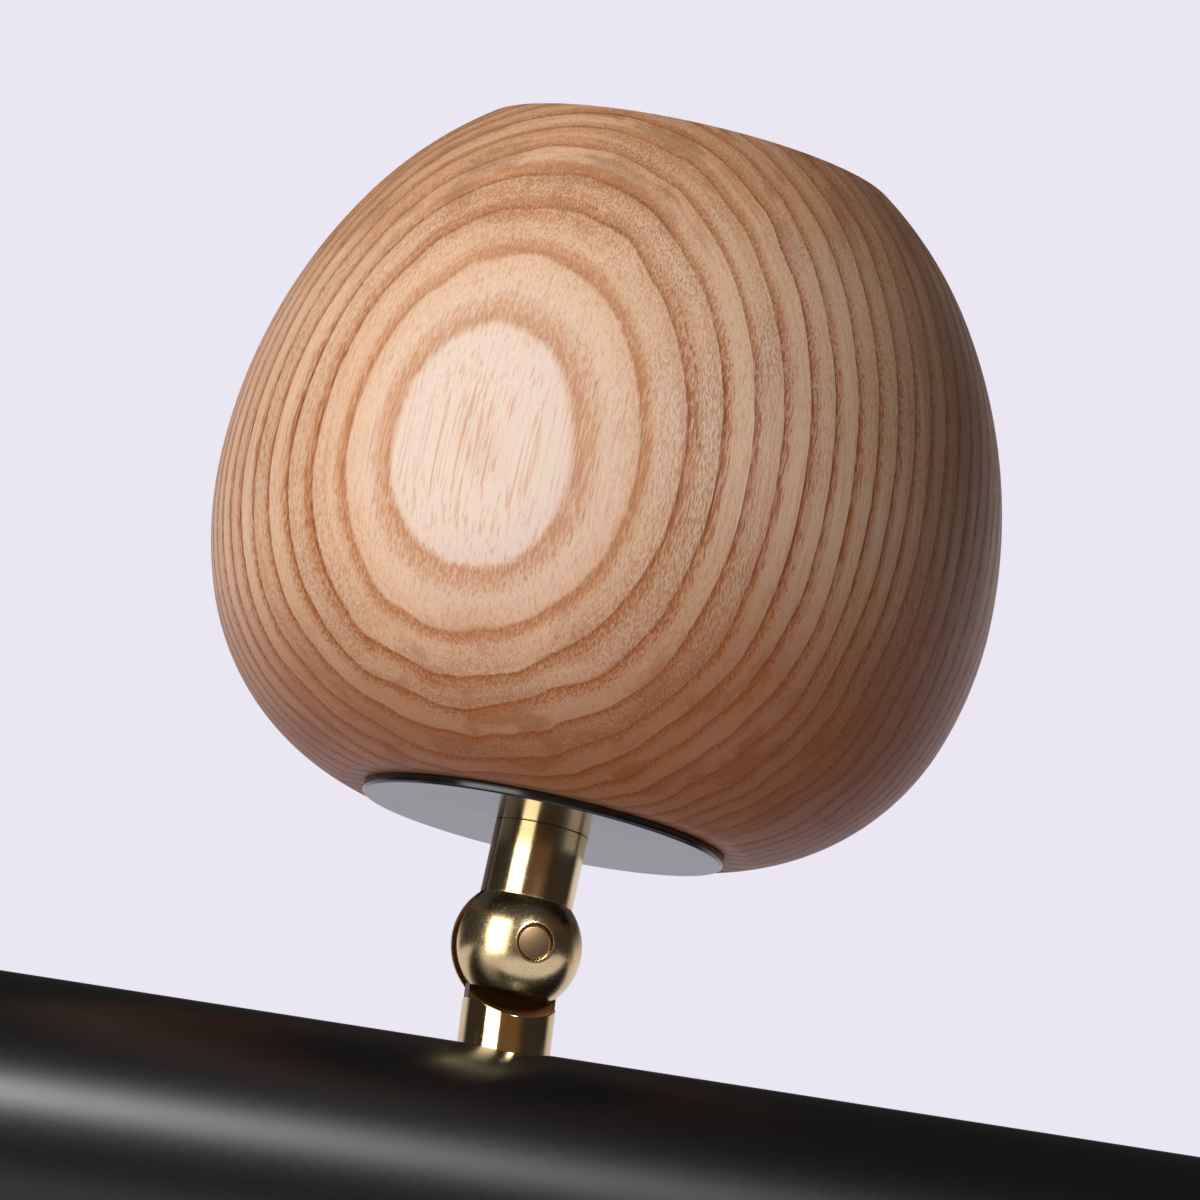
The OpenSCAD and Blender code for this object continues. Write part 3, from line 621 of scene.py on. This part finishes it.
def turned(name, outline, finish, segments=128, copies=1, pitch=0.0, turn=0.0, at=None):
    """A piece turned from half an outline of (across, up), closed back to its start."""
    ring = outline + outline[:1]
    corners = [(r * MM, 0, z * MM) for r, z in ring]
    blank = bpy.data.meshes.new(name)
    blank.from_pydata(corners, [(i, i + 1) for i in range(len(outline))], [])
    obj = placed(name, blank)
    lathe = obj.modifiers.new("turning", "NODES")
    lathe.node_group = TURNING
    wanted = {"Segments": segments, "Copies": copies, "Pitch": pitch * MM, "Turn": turn, "Finish": finish}
    for item in TURNING.interface.items_tree:
        if item.name in wanted:
            lathe[item.identifier] = wanted[item.name]
    settle(obj)
    if at is not None:
        obj.data.transform(at)
    return obj


def from_bmesh(name, bm, finish, at=None):
    """A piece from a bmesh."""
    bmesh.ops.remove_doubles(bm, verts=bm.verts, dist=SAME_POINT)
    bmesh.ops.recalc_face_normals(bm, faces=bm.faces)
    mesh = bpy.data.meshes.new(name)
    bm.to_mesh(mesh)
    bm.free()
    mesh.transform(Matrix.Scale(MM, 4))
    if at is not None:
        mesh.transform(at)
    mesh.materials.append(finish)
    return placed(name, mesh)


def round_edges(bm, edges, ease, steps, clamp=False):
    bmesh.ops.bevel(bm, geom=edges, offset=ease, segments=steps, profile=0.5, affect="EDGES",
                    clamp_overlap=clamp)


def block(name, low, high, finish, ease=0.0):
    """A block between two corners, with its edges eased."""
    bm = bmesh.new()
    bmesh.ops.create_cube(bm, size=1.0)
    for v in bm.verts:
        v.co = Vector([a + (b - a) * (c + 0.5) for a, b, c in zip(low, high, v.co)])
    if ease:
        round_edges(bm, list(bm.edges), ease, steps=3)
    return from_bmesh(name, bm, finish)


def prism(name, ends, finish, ease, steps, at):
    """A solid between two matching rings of corners, with the edges of its ends eased."""
    bm = bmesh.new()
    faces = [bm.faces.new([bm.verts.new(corner) for corner in ring]) for ring in ends]
    near, far = (list(f.verts) for f in faces)
    for i in range(len(near)):
        n = (i + 1) % len(near)
        bm.faces.new((near[i], far[i], far[n], near[n]))
    bmesh.ops.recalc_face_normals(bm, faces=bm.faces)
    round_edges(bm, [e for f in faces for e in f.edges], ease, steps)
    return from_bmesh(name, bm, finish, at)


def combine(obj, operation, *tools):
    """Joins tools to obj or cuts them from it, removes them and welds the slivers left at the seams."""
    for tool in tools:
        cut = obj.modifiers.new(operation.lower(), "BOOLEAN")
        cut.operation = operation
        cut.solver = "EXACT"
        cut.object = tool
        settle(obj)
        bpy.data.objects.remove(tool)
    bm = bmesh.new()
    bm.from_mesh(obj.data)
    bmesh.ops.remove_doubles(bm, verts=bm.verts, dist=WELD * MM)
    bmesh.ops.dissolve_degenerate(bm, edges=bm.edges, dist=WELD * MM)
    wide = [f for f in bm.faces if len(f.verts) > 4]
    bmesh.ops.triangulate(bm, faces=wide, ngon_method="BEAUTY")
    bm.to_mesh(obj.data)
    bm.free()


def fit(obj, body, slot, *nodes, smooth=32.0):
    """Shades a finished piece, sets it on its body and lets it stand for its CAD nodes."""
    obj.data.shade_smooth()
    obj.data.set_sharp_from_angle(angle=math.radians(smooth))
    even = obj.modifiers.new("even shading", "WEIGHTED_NORMAL")
    even.keep_sharp = True
    settle(obj)
    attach(obj, body)
    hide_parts(*nodes)


# Shade and disc

DISC_ROUND = 0.4


def shade_outline():
    """The shade's half outline: foot, belly, side, shoulder, rim, then down the inside to the bore."""
    a, b = math.radians(SIDE_ARC), math.radians(BELLY_ARC)
    side_c = Vector((SHADE_R - SIDE_R, BELLY_H))
    shoulder_c = side_c + (SIDE_R - SHOULDER_R) * Vector((math.cos(a), math.sin(a)))
    belly_c = Vector((SHADE_R - BELLY_R, BELLY_H))
    base_c = belly_c + (BELLY_R - BASE_R) * Vector((math.cos(b), -math.sin(b)))
    top = shoulder_c.y + math.sqrt(SHOULDER_R ** 2 - (RIM_R - shoulder_c.x) ** 2)

    def angle(c, r, z):
        return math.degrees(math.asin((z - c.y) / r))

    round_z = top - RIM_ROUND
    lip = angle(shoulder_c, SHOULDER_R - RIM_ROUND, round_z)
    lip_c = arc(shoulder_c, SHOULDER_R - RIM_ROUND, lip, lip, steps=1)[0]
    inner = math.degrees(math.acos((MOUTH_R - shoulder_c.x) / (SHOULDER_R - WALL)))
    points = [(THREAD_BORE_R, 0.0)]
    points += arc(base_c, BASE_R, angle(base_c, BASE_R, 0.0), -BELLY_ARC, steps=36)
    points += arc(belly_c, BELLY_R, -BELLY_ARC, 0, steps=16)[1:]
    points += arc(side_c, SIDE_R, 0, SIDE_ARC, steps=32)[1:]
    points += arc(shoulder_c, SHOULDER_R, SIDE_ARC, lip, steps=24)[1:]
    points += arc(lip_c, RIM_ROUND, lip, 90, steps=5)[1:]
    points += arc((MOUTH_R + RIM_ROUND, round_z), RIM_ROUND, 90, 180, steps=6)
    points += arc(shoulder_c, SHOULDER_R - WALL, inner, SIDE_ARC, steps=16)
    points += arc(side_c, SIDE_R - WALL, SIDE_ARC, 0, steps=20)[1:]
    points += arc(belly_c, BELLY_R - WALL, 0, -BELLY_ARC, steps=10)[1:]
    points += arc(base_c, BASE_R - WALL, -BELLY_ARC, angle(base_c, BASE_R - WALL, FLOOR_T), steps=14)[1:]
    points.append((THREAD_BORE_R, FLOOR_T))
    return points


shade = turned("turned_shade", shade_outline(), ASH, segments=224, at=HEAD @ raised(WOOD_Z))
fit(shade, "head", "ash_wood", "wood_shade", smooth=40)

disc_outline = eased([
    (THREAD_BORE_R, 0, 0), (PLATE_R, 0, DISC_ROUND), (PLATE_R, PLATE_T, DISC_ROUND),
    (THREAD_BORE_R, PLATE_T, 0)])
disc = turned("shade_disc", disc_outline, LACQUER, segments=192, at=HEAD @ raised(NECK_RISE))
fit(disc, "head", "black_disc", "shade_plate", smooth=40)


# Ball, pin and stem

EDGE = 0.18                 # round on the brass edges
NECK_ROUND = 0.12
NECK_FOOT = 3.0             # where the neck starts inside the ball, above the pin
CLEAR = 0.01                # keeps a cutter's wall out of the plane of the cheeks' own faces
PIN_TIP_ROUND, PIN_HEAD_ROUND = 0.25, 0.35
PIN_HEAD_TOP = BALL_R - PIN_RECESS
PIN_HEAD_FLOOR = PIN_HEAD_TOP - PIN_HEAD_T
CUP_RINGS = (6.2, 5.5, 4.8, 4.1)     # radii that follow the cup from its rim to the bore
TONGUE_ROUND, TONGUE_BORE_ROUND = 0.2, 0.1
ROOT_HALF = 6.8             # half the length of the tongue's root
ROOT_SINK, ROOT_TOP = 2.0, 4.5     # how far the root goes below the cup, and its top below the pin


def cheek(name, mouth_r, mouth_floor, facing):
    """Half of the ball outside the slot, turned round the pin, with the flat cut under it."""
    lip = math.sqrt(BALL_R ** 2 - mouth_r ** 2)
    slot_edge = math.degrees(math.asin((SLOT_HALF + EDGE) / BALL_R))
    lip_edge = math.degrees(math.acos((mouth_r + EDGE) / BALL_R))
    ball = arc((0, 0), BALL_R, slot_edge, lip_edge, steps=48)
    slot_rim = ball[0][0]
    # Both edges of the ball are eased over EDGE
    points = [(PIN_BORE_R, SLOT_HALF), (slot_rim - EDGE * 0.8, SLOT_HALF)]
    points += [(slot_rim - EDGE * 0.2, SLOT_HALF + EDGE * 0.25), *ball]
    points += [(mouth_r + EDGE * 0.25, lip - EDGE * 0.35), (mouth_r, lip - EDGE)]
    points += [(mouth_r, mouth_floor), (PIN_BORE_R, mouth_floor)]
    half = turned(name, points, BALL_BRASS, segments=160, at=facing)
    flatten(half, -BALL_CUT)
    return half


def flatten(obj, level):
    """Cuts a brass piece off below a level and eases the new edge."""
    bm = bmesh.new()
    bm.from_mesh(obj.data)
    level *= MM
    whole = list(bm.verts) + list(bm.edges) + list(bm.faces)
    bmesh.ops.bisect_plane(bm, geom=whole, dist=ON_PLANE * MM, plane_co=(0, 0, level),
                           plane_no=(0, 0, -1), clear_outer=True)
    bmesh.ops.contextual_create(bm, geom=[e for e in bm.edges if e.is_boundary])
    rim = [e for e in bm.edges if all(abs(v.co.z - level) < ON_PLANE * MM for v in e.verts)]
    round_edges(bm, rim, EDGE * MM, steps=3, clamp=True)
    bm.to_mesh(obj.data)
    bm.free()


front_cheek = cheek("front_cheek", PIN_MOUTH_R, BALL_R - PIN_MOUTH_DEPTH, TO_FRONT)
rear_cheek = cheek("rear_cheek", PIN_HEAD_R + FIT_GAP, PIN_HEAD_FLOOR - FIT_GAP, TO_REAR)
neck_outline = eased([
    (0, NECK_FOOT, 0), (STEM_R, NECK_FOOT, 0), (STEM_R, NECK_RISE, NECK_ROUND), (0, NECK_RISE, 0)])
neck = turned("ball_and_neck", neck_outline, BALL_BRASS, segments=160)
round_half, mouth_half = SLOT_HALF + CLEAR, SLOT_HALF + 2 * CLEAR
slot_round = turned("slot_round", rod(SLOT_R, -round_half, round_half), BALL_BRASS, at=TO_REAR)
slot_mouth = block("slot_mouth", (-BALL_R, -mouth_half, 0), (BALL_R, mouth_half, SLOT_TOP), BALL_BRASS)
pin_bore = turned("pin_bore", rod(PIN_BORE_R, -BALL_R, BALL_R), BALL_BRASS, segments=96, at=TO_REAR)
combine(neck, "DIFFERENCE", slot_round, slot_mouth, pin_bore)
combine(neck, "UNION", front_cheek, rear_cheek)
neck.data.transform(HEAD)
fit(neck, "head", "brass", "swivel_ball")

pin_outline = eased([
    (0, PIN_RECESS - BALL_R, 0), (PIN_R, PIN_RECESS - BALL_R, PIN_TIP_ROUND), (PIN_R, PIN_HEAD_FLOOR, 0),
    (PIN_HEAD_R, PIN_HEAD_FLOOR, 0), (PIN_HEAD_R, PIN_HEAD_TOP, PIN_HEAD_ROUND), (0, PIN_HEAD_TOP, 0)])
pin = turned("cross_pin", pin_outline, DULL_BRASS, segments=96, at=TO_REAR)
driver_slot = block("driver_slot", (-BALL_R, PIN_HEAD_TOP - PIN_SLOT, -PIN_SLOT / 2),
                    (BALL_R, BALL_R, PIN_SLOT / 2), DULL_BRASS)
combine(pin, "DIFFERENCE", driver_slot)
pin.data.transform(HEAD)
fit(pin, "head", "brass", "pivot_pin")


def stem_column():
    """The stem: a column whose hollow top runs round the pin, on its hollow thread."""
    turns = 160
    angles = [2 * math.pi * k / turns for k in range(turns)]
    # Level rings up the outside, then rings round the hollow with how far each lies below it
    level = [(LEAD_BORE_R, STEM_END_Z), (THREAD_R, STEM_END_Z), (THREAD_R, SEAT_Z),
             (STEM_R - EDGE, SEAT_Z), (STEM_R, SEAT_Z + EDGE)]
    hollow = [(STEM_R, EDGE), (STEM_R - EDGE * 0.3, EDGE * 0.3)]
    hollow += [(r, 0.0) for r in (STEM_R - EDGE, *CUP_RINGS, LEAD_BORE_R)]
    bm = bmesh.new()

    def corner(r, a, z):
        return bm.verts.new((r * math.cos(a), r * math.sin(a), z))

    def cup(r, a):
        return PIN_Z - math.sqrt(CUP_R ** 2 - (r * math.cos(a)) ** 2)

    rings = [[corner(r, a, z) for a in angles] for r, z in level]
    rings += [[corner(r, a, cup(r, a) - below) for a in angles] for r, below in hollow]
    for i, low in enumerate(rings):
        high = rings[(i + 1) % len(rings)]
        for k in range(turns):
            n = (k + 1) % turns
            bm.faces.new((low[k], low[n], high[n], high[k]))
    return from_bmesh("swivel_stem", bm, STEM_BRASS)


stem = stem_column()
tongue_outline = eased([
    (PIN_BORE_R, -TONGUE_HALF, TONGUE_BORE_ROUND), (TONGUE_R, -TONGUE_HALF, TONGUE_ROUND),
    (TONGUE_R, TONGUE_HALF, TONGUE_ROUND), (PIN_BORE_R, TONGUE_HALF, TONGUE_BORE_ROUND)])
tongue = turned("tongue", tongue_outline, STEM_BRASS, at=UPRIGHT @ TO_REAR)
root = block("tongue_root", (-ROOT_HALF, -TONGUE_HALF, PIN_Z - CUP_R - ROOT_SINK),
             (ROOT_HALF, TONGUE_HALF, PIN_Z - ROOT_TOP), STEM_BRASS)
combine(stem, "UNION", root, tongue)
fit(stem, "stem", "brass", "swivel_base")


# Bar, caps and bosses

BAR_ROWS = 24
CAP_T, CAP_PLUG, CAP_WALL = 3.0, 10.0, 2.0
CAP_HOLLOW = 0.2     # how far the hollow of the plug goes on past the bar's end
CAP_ROUND, CAP_SEAM, PLUG_ROUND = 1.5, 0.15, 0.5
TAPPED_R, TAPPED_DEPTH, RUN_OUT = 4.5, 9.0, 0.4
THREAD_PITCH, THREAD_DEPTH, FIRST_CREST, CREST_HALF, GROOVE_BELOW = 1.0, 0.5, 0.8, 0.1, 0.55
BOSS_CHAMFER, COUNTERSINK = 0.6, 0.7
BOSS_END_ROUND, BOSS_SEAT_ROUND, BOSS_TOP_ROUND, COUNTERSINK_ROUND = 0.3, 0.15, 0.2, 0.1


def bar_seat(x):
    """The cutter for one flat seat and its hole in the bar's crown, in the bar's own place."""
    outline = [(0, BAR_Z), (THREAD_BORE_R, BAR_Z), (THREAD_BORE_R, SEAT_Z), (SEAT_R, SEAT_Z), (SEAT_R, 0),
               (0, 0)]
    return turned("bar_seat", outline, COAT, segments=96, at=Matrix.Translation((x * MM, 0, 0)))


half_bar = BAR_LEN / 2
bar_outline = [(BORE_R, -half_bar)]
bar_outline += [(BAR_R, -half_bar + BAR_LEN * i / BAR_ROWS) for i in range(BAR_ROWS + 1)]
bar_outline += [(BORE_R, half_bar)]
bar = turned("round_bar", bar_outline, COAT, segments=192, at=ALONG_BAR)
combine(bar, "DIFFERENCE", *[bar_seat(x) for x in (-HANGER_PITCH / 2, 0, HANGER_PITCH / 2)])
fit(bar, "bar", "black_coat", "bar_tube")

plug_r = BORE_R - FIT_GAP
hollow_r = plug_r - CAP_WALL
cap_outline = eased([
    (hollow_r, -CAP_PLUG, 0), (plug_r, -CAP_PLUG, PLUG_ROUND), (plug_r, 0, 0), (BAR_R, 0, CAP_SEAM),
    (BAR_R, CAP_T, CAP_ROUND), (0, CAP_T, 0), (0, CAP_HOLLOW, 0), (hollow_r, CAP_HOLLOW, 0)], steps=6)
caps = turned("bar_end_caps", cap_outline, COAT, segments=192, copies=2, pitch=BAR_LEN, turn=math.pi / 2,
              at=raised(BAR_Z))
fit(caps, "bar", "black_coat", "end_cap_left", "end_cap_right", smooth=40)

boss_outline = eased([
    (LEAD_BORE_R, HANGER_END_Z, 0), (THREAD_R, HANGER_END_Z, BOSS_END_ROUND), (THREAD_R, SEAT_Z, 0),
    (STEM_R, SEAT_Z, BOSS_SEAT_ROUND), (STEM_R, -BOSS_CHAMFER, BOSS_TOP_ROUND),
    (STEM_R - BOSS_CHAMFER, 0, BOSS_TOP_ROUND), (TAPPED_R + COUNTERSINK, 0, COUNTERSINK_ROUND)])
for i in range(int(TAPPED_DEPTH / THREAD_PITCH)):
    crest = -FIRST_CREST - i * THREAD_PITCH
    boss_outline += [(TAPPED_R, crest + CREST_HALF), (TAPPED_R, crest - CREST_HALF),
                     (TAPPED_R + THREAD_DEPTH, crest - GROOVE_BELOW)]
boss_outline += [(r, -TAPPED_DEPTH - RUN_OUT) for r in (TAPPED_R, LEAD_BORE_R)]
bosses = turned("hanger_bosses", boss_outline, BRASS, copies=2, pitch=HANGER_PITCH)
fit(bosses, "bar", "brass", "hanger_left", "hanger_right")


# Lampholder and bulb inside the shade

WASHER_ROUND = 0.3
LEG_PAST_SCREW, BEND_OUTSIDE, BEND_INSIDE, STRAP_ROUND = 5.5, 1.6, 0.4, 0.18
HOLDER_ROUND, OVERRUN = 1.0, 1.0
GROOVE_X, GROOVE_HALF, GROOVE_DEPTH, GROOVE_FOOT, GROOVE_ROUND = 9.0, 0.6, 0.5, 3.0, 0.2
POCKET_X, POCKET_HALF_W, POCKET_HALF_D, POCKET_DEPTH = 4.5, 1.5, 2.7, 13.0
SCREW_R, SCREW_H, SHANK_R, SHANK, DRIVE_R, DRIVE_DEPTH = 2.75, 1.8, 1.5, 5.2, 1.2, 0.9
SCREW_DOME, SCREW_ROUND, SHANK_ROUND = 0.9, 0.1, 0.4
BULB_FOOT_STEPS, BULB_FOOT_ROUND = 16, 0.6
HOLDER_AT = HEAD @ raised(HOLDER_Z)

washer_outline = eased([
    (THREAD_BORE_R, 0, 0), (WASHER_R, 0, 0), (WASHER_R, WASHER_T, WASHER_ROUND),
    (THREAD_BORE_R, WASHER_T, WASHER_ROUND)])
washer = turned("shade_washer", washer_outline, ZINC, segments=96, at=HEAD @ raised(FLOOR_Z))
fit(washer, "head", "zinc_steel", "floor_washer")


def lamp_strap():
    """A bent strap: a U of sheet with round bends, its two legs against the lampholder."""
    inside = HOLDER_W / 2
    outside = inside + STRAP_T
    height = HOLDER_Z + HOLDER_H / 2 + LEG_PAST_SCREW - STRAP_Z
    outline = eased([
        (-outside, height, 0), (-outside, 0, BEND_OUTSIDE), (outside, 0, BEND_OUTSIDE),
        (outside, height, 0), (inside, height, 0), (inside, STRAP_T, BEND_INSIDE),
        (-inside, STRAP_T, BEND_INSIDE), (-inside, height, 0)])
    ends = [[(x, y, z) for x, z in outline] for y in (-STRAP_W / 2, STRAP_W / 2)]
    return prism("lamp_strap", ends, ZINC, STRAP_ROUND, steps=2, at=HEAD @ raised(STRAP_Z))


fit(lamp_strap(), "head", "zinc_steel", "lamp_bracket")

holder_half = (HOLDER_W / 2, HOLDER_D / 2)
holder = block("lamp_holder", (-holder_half[0], -holder_half[1], 0), (*holder_half, HOLDER_H), CERAMIC,
               HOLDER_ROUND)
above = HOLDER_H + OVERRUN
grooves = [block("groove", (x - GROOVE_HALF, y - GROOVE_DEPTH, GROOVE_FOOT),
                 (x + GROOVE_HALF, y + GROOVE_DEPTH, above), CERAMIC, GROOVE_ROUND)
           for x in (-GROOVE_X, GROOVE_X) for y in (-holder_half[1], holder_half[1])]
pockets = [block("pocket", (x - POCKET_HALF_W, -POCKET_HALF_D, HOLDER_H - POCKET_DEPTH),
                 (x + POCKET_HALF_W, POCKET_HALF_D, above), CERAMIC)
           for x in (-POCKET_X, POCKET_X)]
combine(holder, "DIFFERENCE", *grooves, *pockets)
holder.data.transform(HOLDER_AT)
fit(holder, "head", "ceramic", "lampholder")

drive_floor = SCREW_H - DRIVE_DEPTH
screw_outline = eased([
    (0, -SHANK, 0), (SHANK_R, -SHANK, SHANK_ROUND), (SHANK_R, 0, 0), (SCREW_R, 0, SCREW_ROUND),
    (SCREW_R, SCREW_H, SCREW_DOME), (DRIVE_R, SCREW_H, SCREW_ROUND), (DRIVE_R, drive_floor, 0),
    (0, drive_floor, 0)])
screws = turned("holder_screws", screw_outline, ZINC, segments=48, copies=2, pitch=HOLDER_W + 2 * STRAP_T,
                turn=math.pi / 2, at=HOLDER_AT @ raised(HOLDER_H / 2))
fit(screws, "head", "zinc_steel", "lampholder_screws")


def bulb_foot():
    """The bulb's ceramic base: a round body with two flats, its ends eased."""
    flat = math.degrees(math.asin(BULB_BASE_D / 2 / BULB_R))
    outline = []
    for side in (0, 180):
        outline += arc((0, 0), BULB_R, side - flat, side + flat, BULB_FOOT_STEPS)
    ends = [[(x, y, z) for x, y in outline] for z in (0.0, BULB_BASE_H)]
    return prism("bulb_foot", ends, CERAMIC, BULB_FOOT_ROUND, steps=3, at=HEAD @ raised(BULB_Z))


fit(bulb_foot(), "head", "ceramic", "bulb_base")

inside_r = BULB_R - BULB_WALL
glass_outline = [(inside_r, 0.0), (BULB_R, 0.0)]
glass_outline += arc((0, BULB_STRAIGHT), BULB_R, 0, 90, steps=20)
glass_outline += arc((0, BULB_STRAIGHT), inside_r, 90, 0, steps=20)
glass = turned("bulb_glass", glass_outline, GLASS, segments=96, at=HEAD @ raised(GLASS_Z))
fit(glass, "head", "frosted_glass", "bulb_dome", smooth=60)


# Finishes of the CAD parts that stay

KEPT = (
    (ZINC, ("hanger_saddles", "hanger_nuts", "stem_saddle", "stop_pin", "stem_tab_washer",
            "stem_spring_washer", "stem_nut", "friction_washers", "head_nipple", "nipple_nut",
            "bulb_pins")),
    (BRASS, ("lamp_contacts", "terminal_screws")),
    (CERAMIC, ("bulb_core",)),
    (PLASTIC, ("terminal_block",)),
    (SLEEVE, ("bar_leads", "stem_leads", "head_leads")),
)
for finish, names in KEPT:
    for name in names:
        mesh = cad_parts[name].data
        mesh.materials.clear()
        mesh.materials.append(finish)


# Stage, light and camera

BACKGROUND = srgb(234, 231, 243)
VIEW_AZ, VIEW_EL, VIEW_ROLL = math.radians(-17.04), math.radians(-6.26), math.radians(7.09)
STAGE_Z, STAGE_R = -0.9, 9.0
DARK_FRONT = (1300.0, 2600.0)          # millimetres towards the camera, where the floor's painted glow in reflections darkens
NEAR_FLOOR, FAR_FLOOR = 900.0, 4000.0     # the floor keeps its shadow near by, and is all pale far off
SHADOW_VEIL = 0.65                     # how far the pale background covers the near floor
OBJECT_MIDDLE = Vector((0.0, 0.0, 0.06))
WARM_WHITE, COOL_WHITE, STRIP_WHITE = (1.0, 0.98, 0.97), (0.97, 0.98, 1.0), (0.96, 0.97, 1.0)
VIEW_DISTANCE, FOCAL_PX, FRAME_PX, SENSOR = 1.8, 12085.0, 1200.0, 36.0
PIN_PX = (516.3, 946.5)


def stage_floor():
    """A pale floor well below the light, clear from below. In reflections it is a painted glow, dark far
    in front.
    """
    bm = bmesh.new()
    bmesh.ops.create_circle(bm, cap_ends=True, segments=96, radius=STAGE_R)
    mesh = bpy.data.meshes.new("floor")
    bm.to_mesh(mesh)
    bm.free()
    mesh.transform(Matrix.Translation((0, 0, STAGE_Z)))
    paint = Finish("pale floor", Roughness=0.8)
    here = paint.place()
    x, y, _ = paint.parts(here)
    tone = paint.noise(here, 0.004, 2.0)
    paint.feed(Base_Color=paint.mix(tone, srgb(236, 233, 244), srgb(230, 227, 238)))
    far = (x * x + y * y).rise(NEAR_FLOOR ** 2, FAR_FLOOR ** 2)
    veil = paint.seen_by("Camera") * (SHADOW_VEIL + (1 - SHADOW_VEIL) * far)
    shown = paint.mix_shaders(veil, Value(paint, paint.shader.outputs[0]), paint.glow(BACKGROUND))
    # Painted reflection: glossy rays see a glow here, pale near by and dark far in front, not the lit
    # floor.
    in_front = (x * math.sin(VIEW_AZ) - y * math.cos(VIEW_AZ)).rise(*DARK_FRONT)
    mirrored = paint.glow(paint.mix(in_front, srgb(222, 219, 230), srgb(76, 72, 74)))
    shown = paint.mix_shaders(paint.seen_in_gloss(), shown, mirrored)
    below = paint.node("ShaderNodeNewGeometry", out="Backfacing")
    shown = paint.mix_shaders(below, shown, paint.node("ShaderNodeBsdfTransparent"))
    paint.tree.links.new(shown.socket, paint.output.inputs["Surface"])
    mesh.materials.append(paint.material)
    placed("floor", mesh)


def studio_world():
    """A pale background for the camera and for reflections from behind, and a dim room in front."""
    world = bpy.data.worlds.new("studio")
    bpy.context.scene.world = world
    world.use_nodes = True
    room = Nodes(world.node_tree)
    x, y, z = room.parts(room.node("ShaderNodeTexCoord", out="Generated"))
    away = y * math.cos(VIEW_AZ) - x * math.sin(VIEW_AZ)
    behind = away.rise(0.35, 0.70) * z.fall(0.04, 0.34)
    in_front = (0 - away).rise(0.68, 0.96) * z.size().fall(0.10, 0.30)
    dim, warm, fill = srgb(56, 52, 53), srgb(116, 90, 68), srgb(52, 46, 43)
    reflected = room.mix(behind, room.mix(in_front, dim, warm), BACKGROUND)
    colour = room.mix(room.seen_in_gloss(), fill, reflected)
    colour = room.mix(room.seen_by("Camera"), colour, BACKGROUND)
    surface = room.node("ShaderNodeBackground", None, {"Color": colour})
    output = room.tree.nodes.new("ShaderNodeOutputWorld")
    room.tree.links.new(surface.socket, output.inputs["Surface"])


def towards(az, el):
    """The way from the object to a camera or lamp: az from the front to the right, el up."""
    return Vector((math.sin(az) * math.cos(el), -math.cos(az) * math.cos(el), math.sin(el)))


def softbox(name, az, el, distance, width, height, level, colour=WARM_WHITE):
    """A soft lamp aimed at the object; at level 1 it shows a white surface that faces it as white."""
    lamp = bpy.data.lights.new(name, "AREA")
    lamp.shape = "RECTANGLE"
    lamp.size, lamp.size_y = width, height
    lamp.energy = level * (math.pi * distance) ** 2
    lamp.color = colour
    obj = placed(name, lamp)
    back = towards(math.radians(az), math.radians(el))
    obj.location = OBJECT_MIDDLE + back * distance
    obj.rotation_euler = (-back).to_track_quat("-Z", "Y").to_euler()
    return obj


def photo_camera():
    """A long lens, a little below and left of the light, rolled and framed as the photo is."""
    back = towards(VIEW_AZ, VIEW_EL)
    right = Vector((math.cos(VIEW_AZ), math.sin(VIEW_AZ), 0))
    up = back.cross(right)
    across = right * math.cos(VIEW_ROLL) + up * math.sin(VIEW_ROLL)
    upward = up * math.cos(VIEW_ROLL) - right * math.sin(VIEW_ROLL)
    scale = VIEW_DISTANCE / FOCAL_PX
    target = PIN + across * ((FRAME_PX / 2 - PIN_PX[0]) * scale)
    target = target + upward * ((PIN_PX[1] - FRAME_PX / 2) * scale)
    lens = bpy.data.cameras.new("photo camera")
    lens.sensor_width = SENSOR
    lens.lens = FOCAL_PX / FRAME_PX * SENSOR
    lens.clip_start, lens.clip_end = 0.1, 50.0
    obj = placed("photo camera", lens)
    place = PIN + back * VIEW_DISTANCE
    away = (place - target).normalized()
    upward = (upward - away * upward.dot(away)).normalized()
    turn = Matrix((upward.cross(away), upward, away)).transposed()
    obj.matrix_world = Matrix.Translation(place) @ turn.to_4x4()
    bpy.context.scene.camera = obj


stage_floor()
studio_world()
softbox("tall_softbox", az=-53, el=13, distance=1.4, width=0.95, height=1.9, level=1.18)
bar_strip = softbox("bar_strip", az=4, el=25.5, distance=1.25, width=0.14, height=0.34, level=0.62,
                    colour=STRIP_WHITE)
bar_strip.visible_diffuse = False
rear = softbox("rear_softbox", az=145, el=14, distance=1.6, width=0.9, height=0.9, level=0.5)
rear.visible_glossy = False
overhead = softbox("overhead_softbox", az=-60, el=76, distance=1.5, width=0.8, height=0.8, level=0.09,
                   colour=COOL_WHITE)
overhead.visible_glossy = False
photo_camera()
bpy.context.scene.view_settings.view_transform = "Standard"
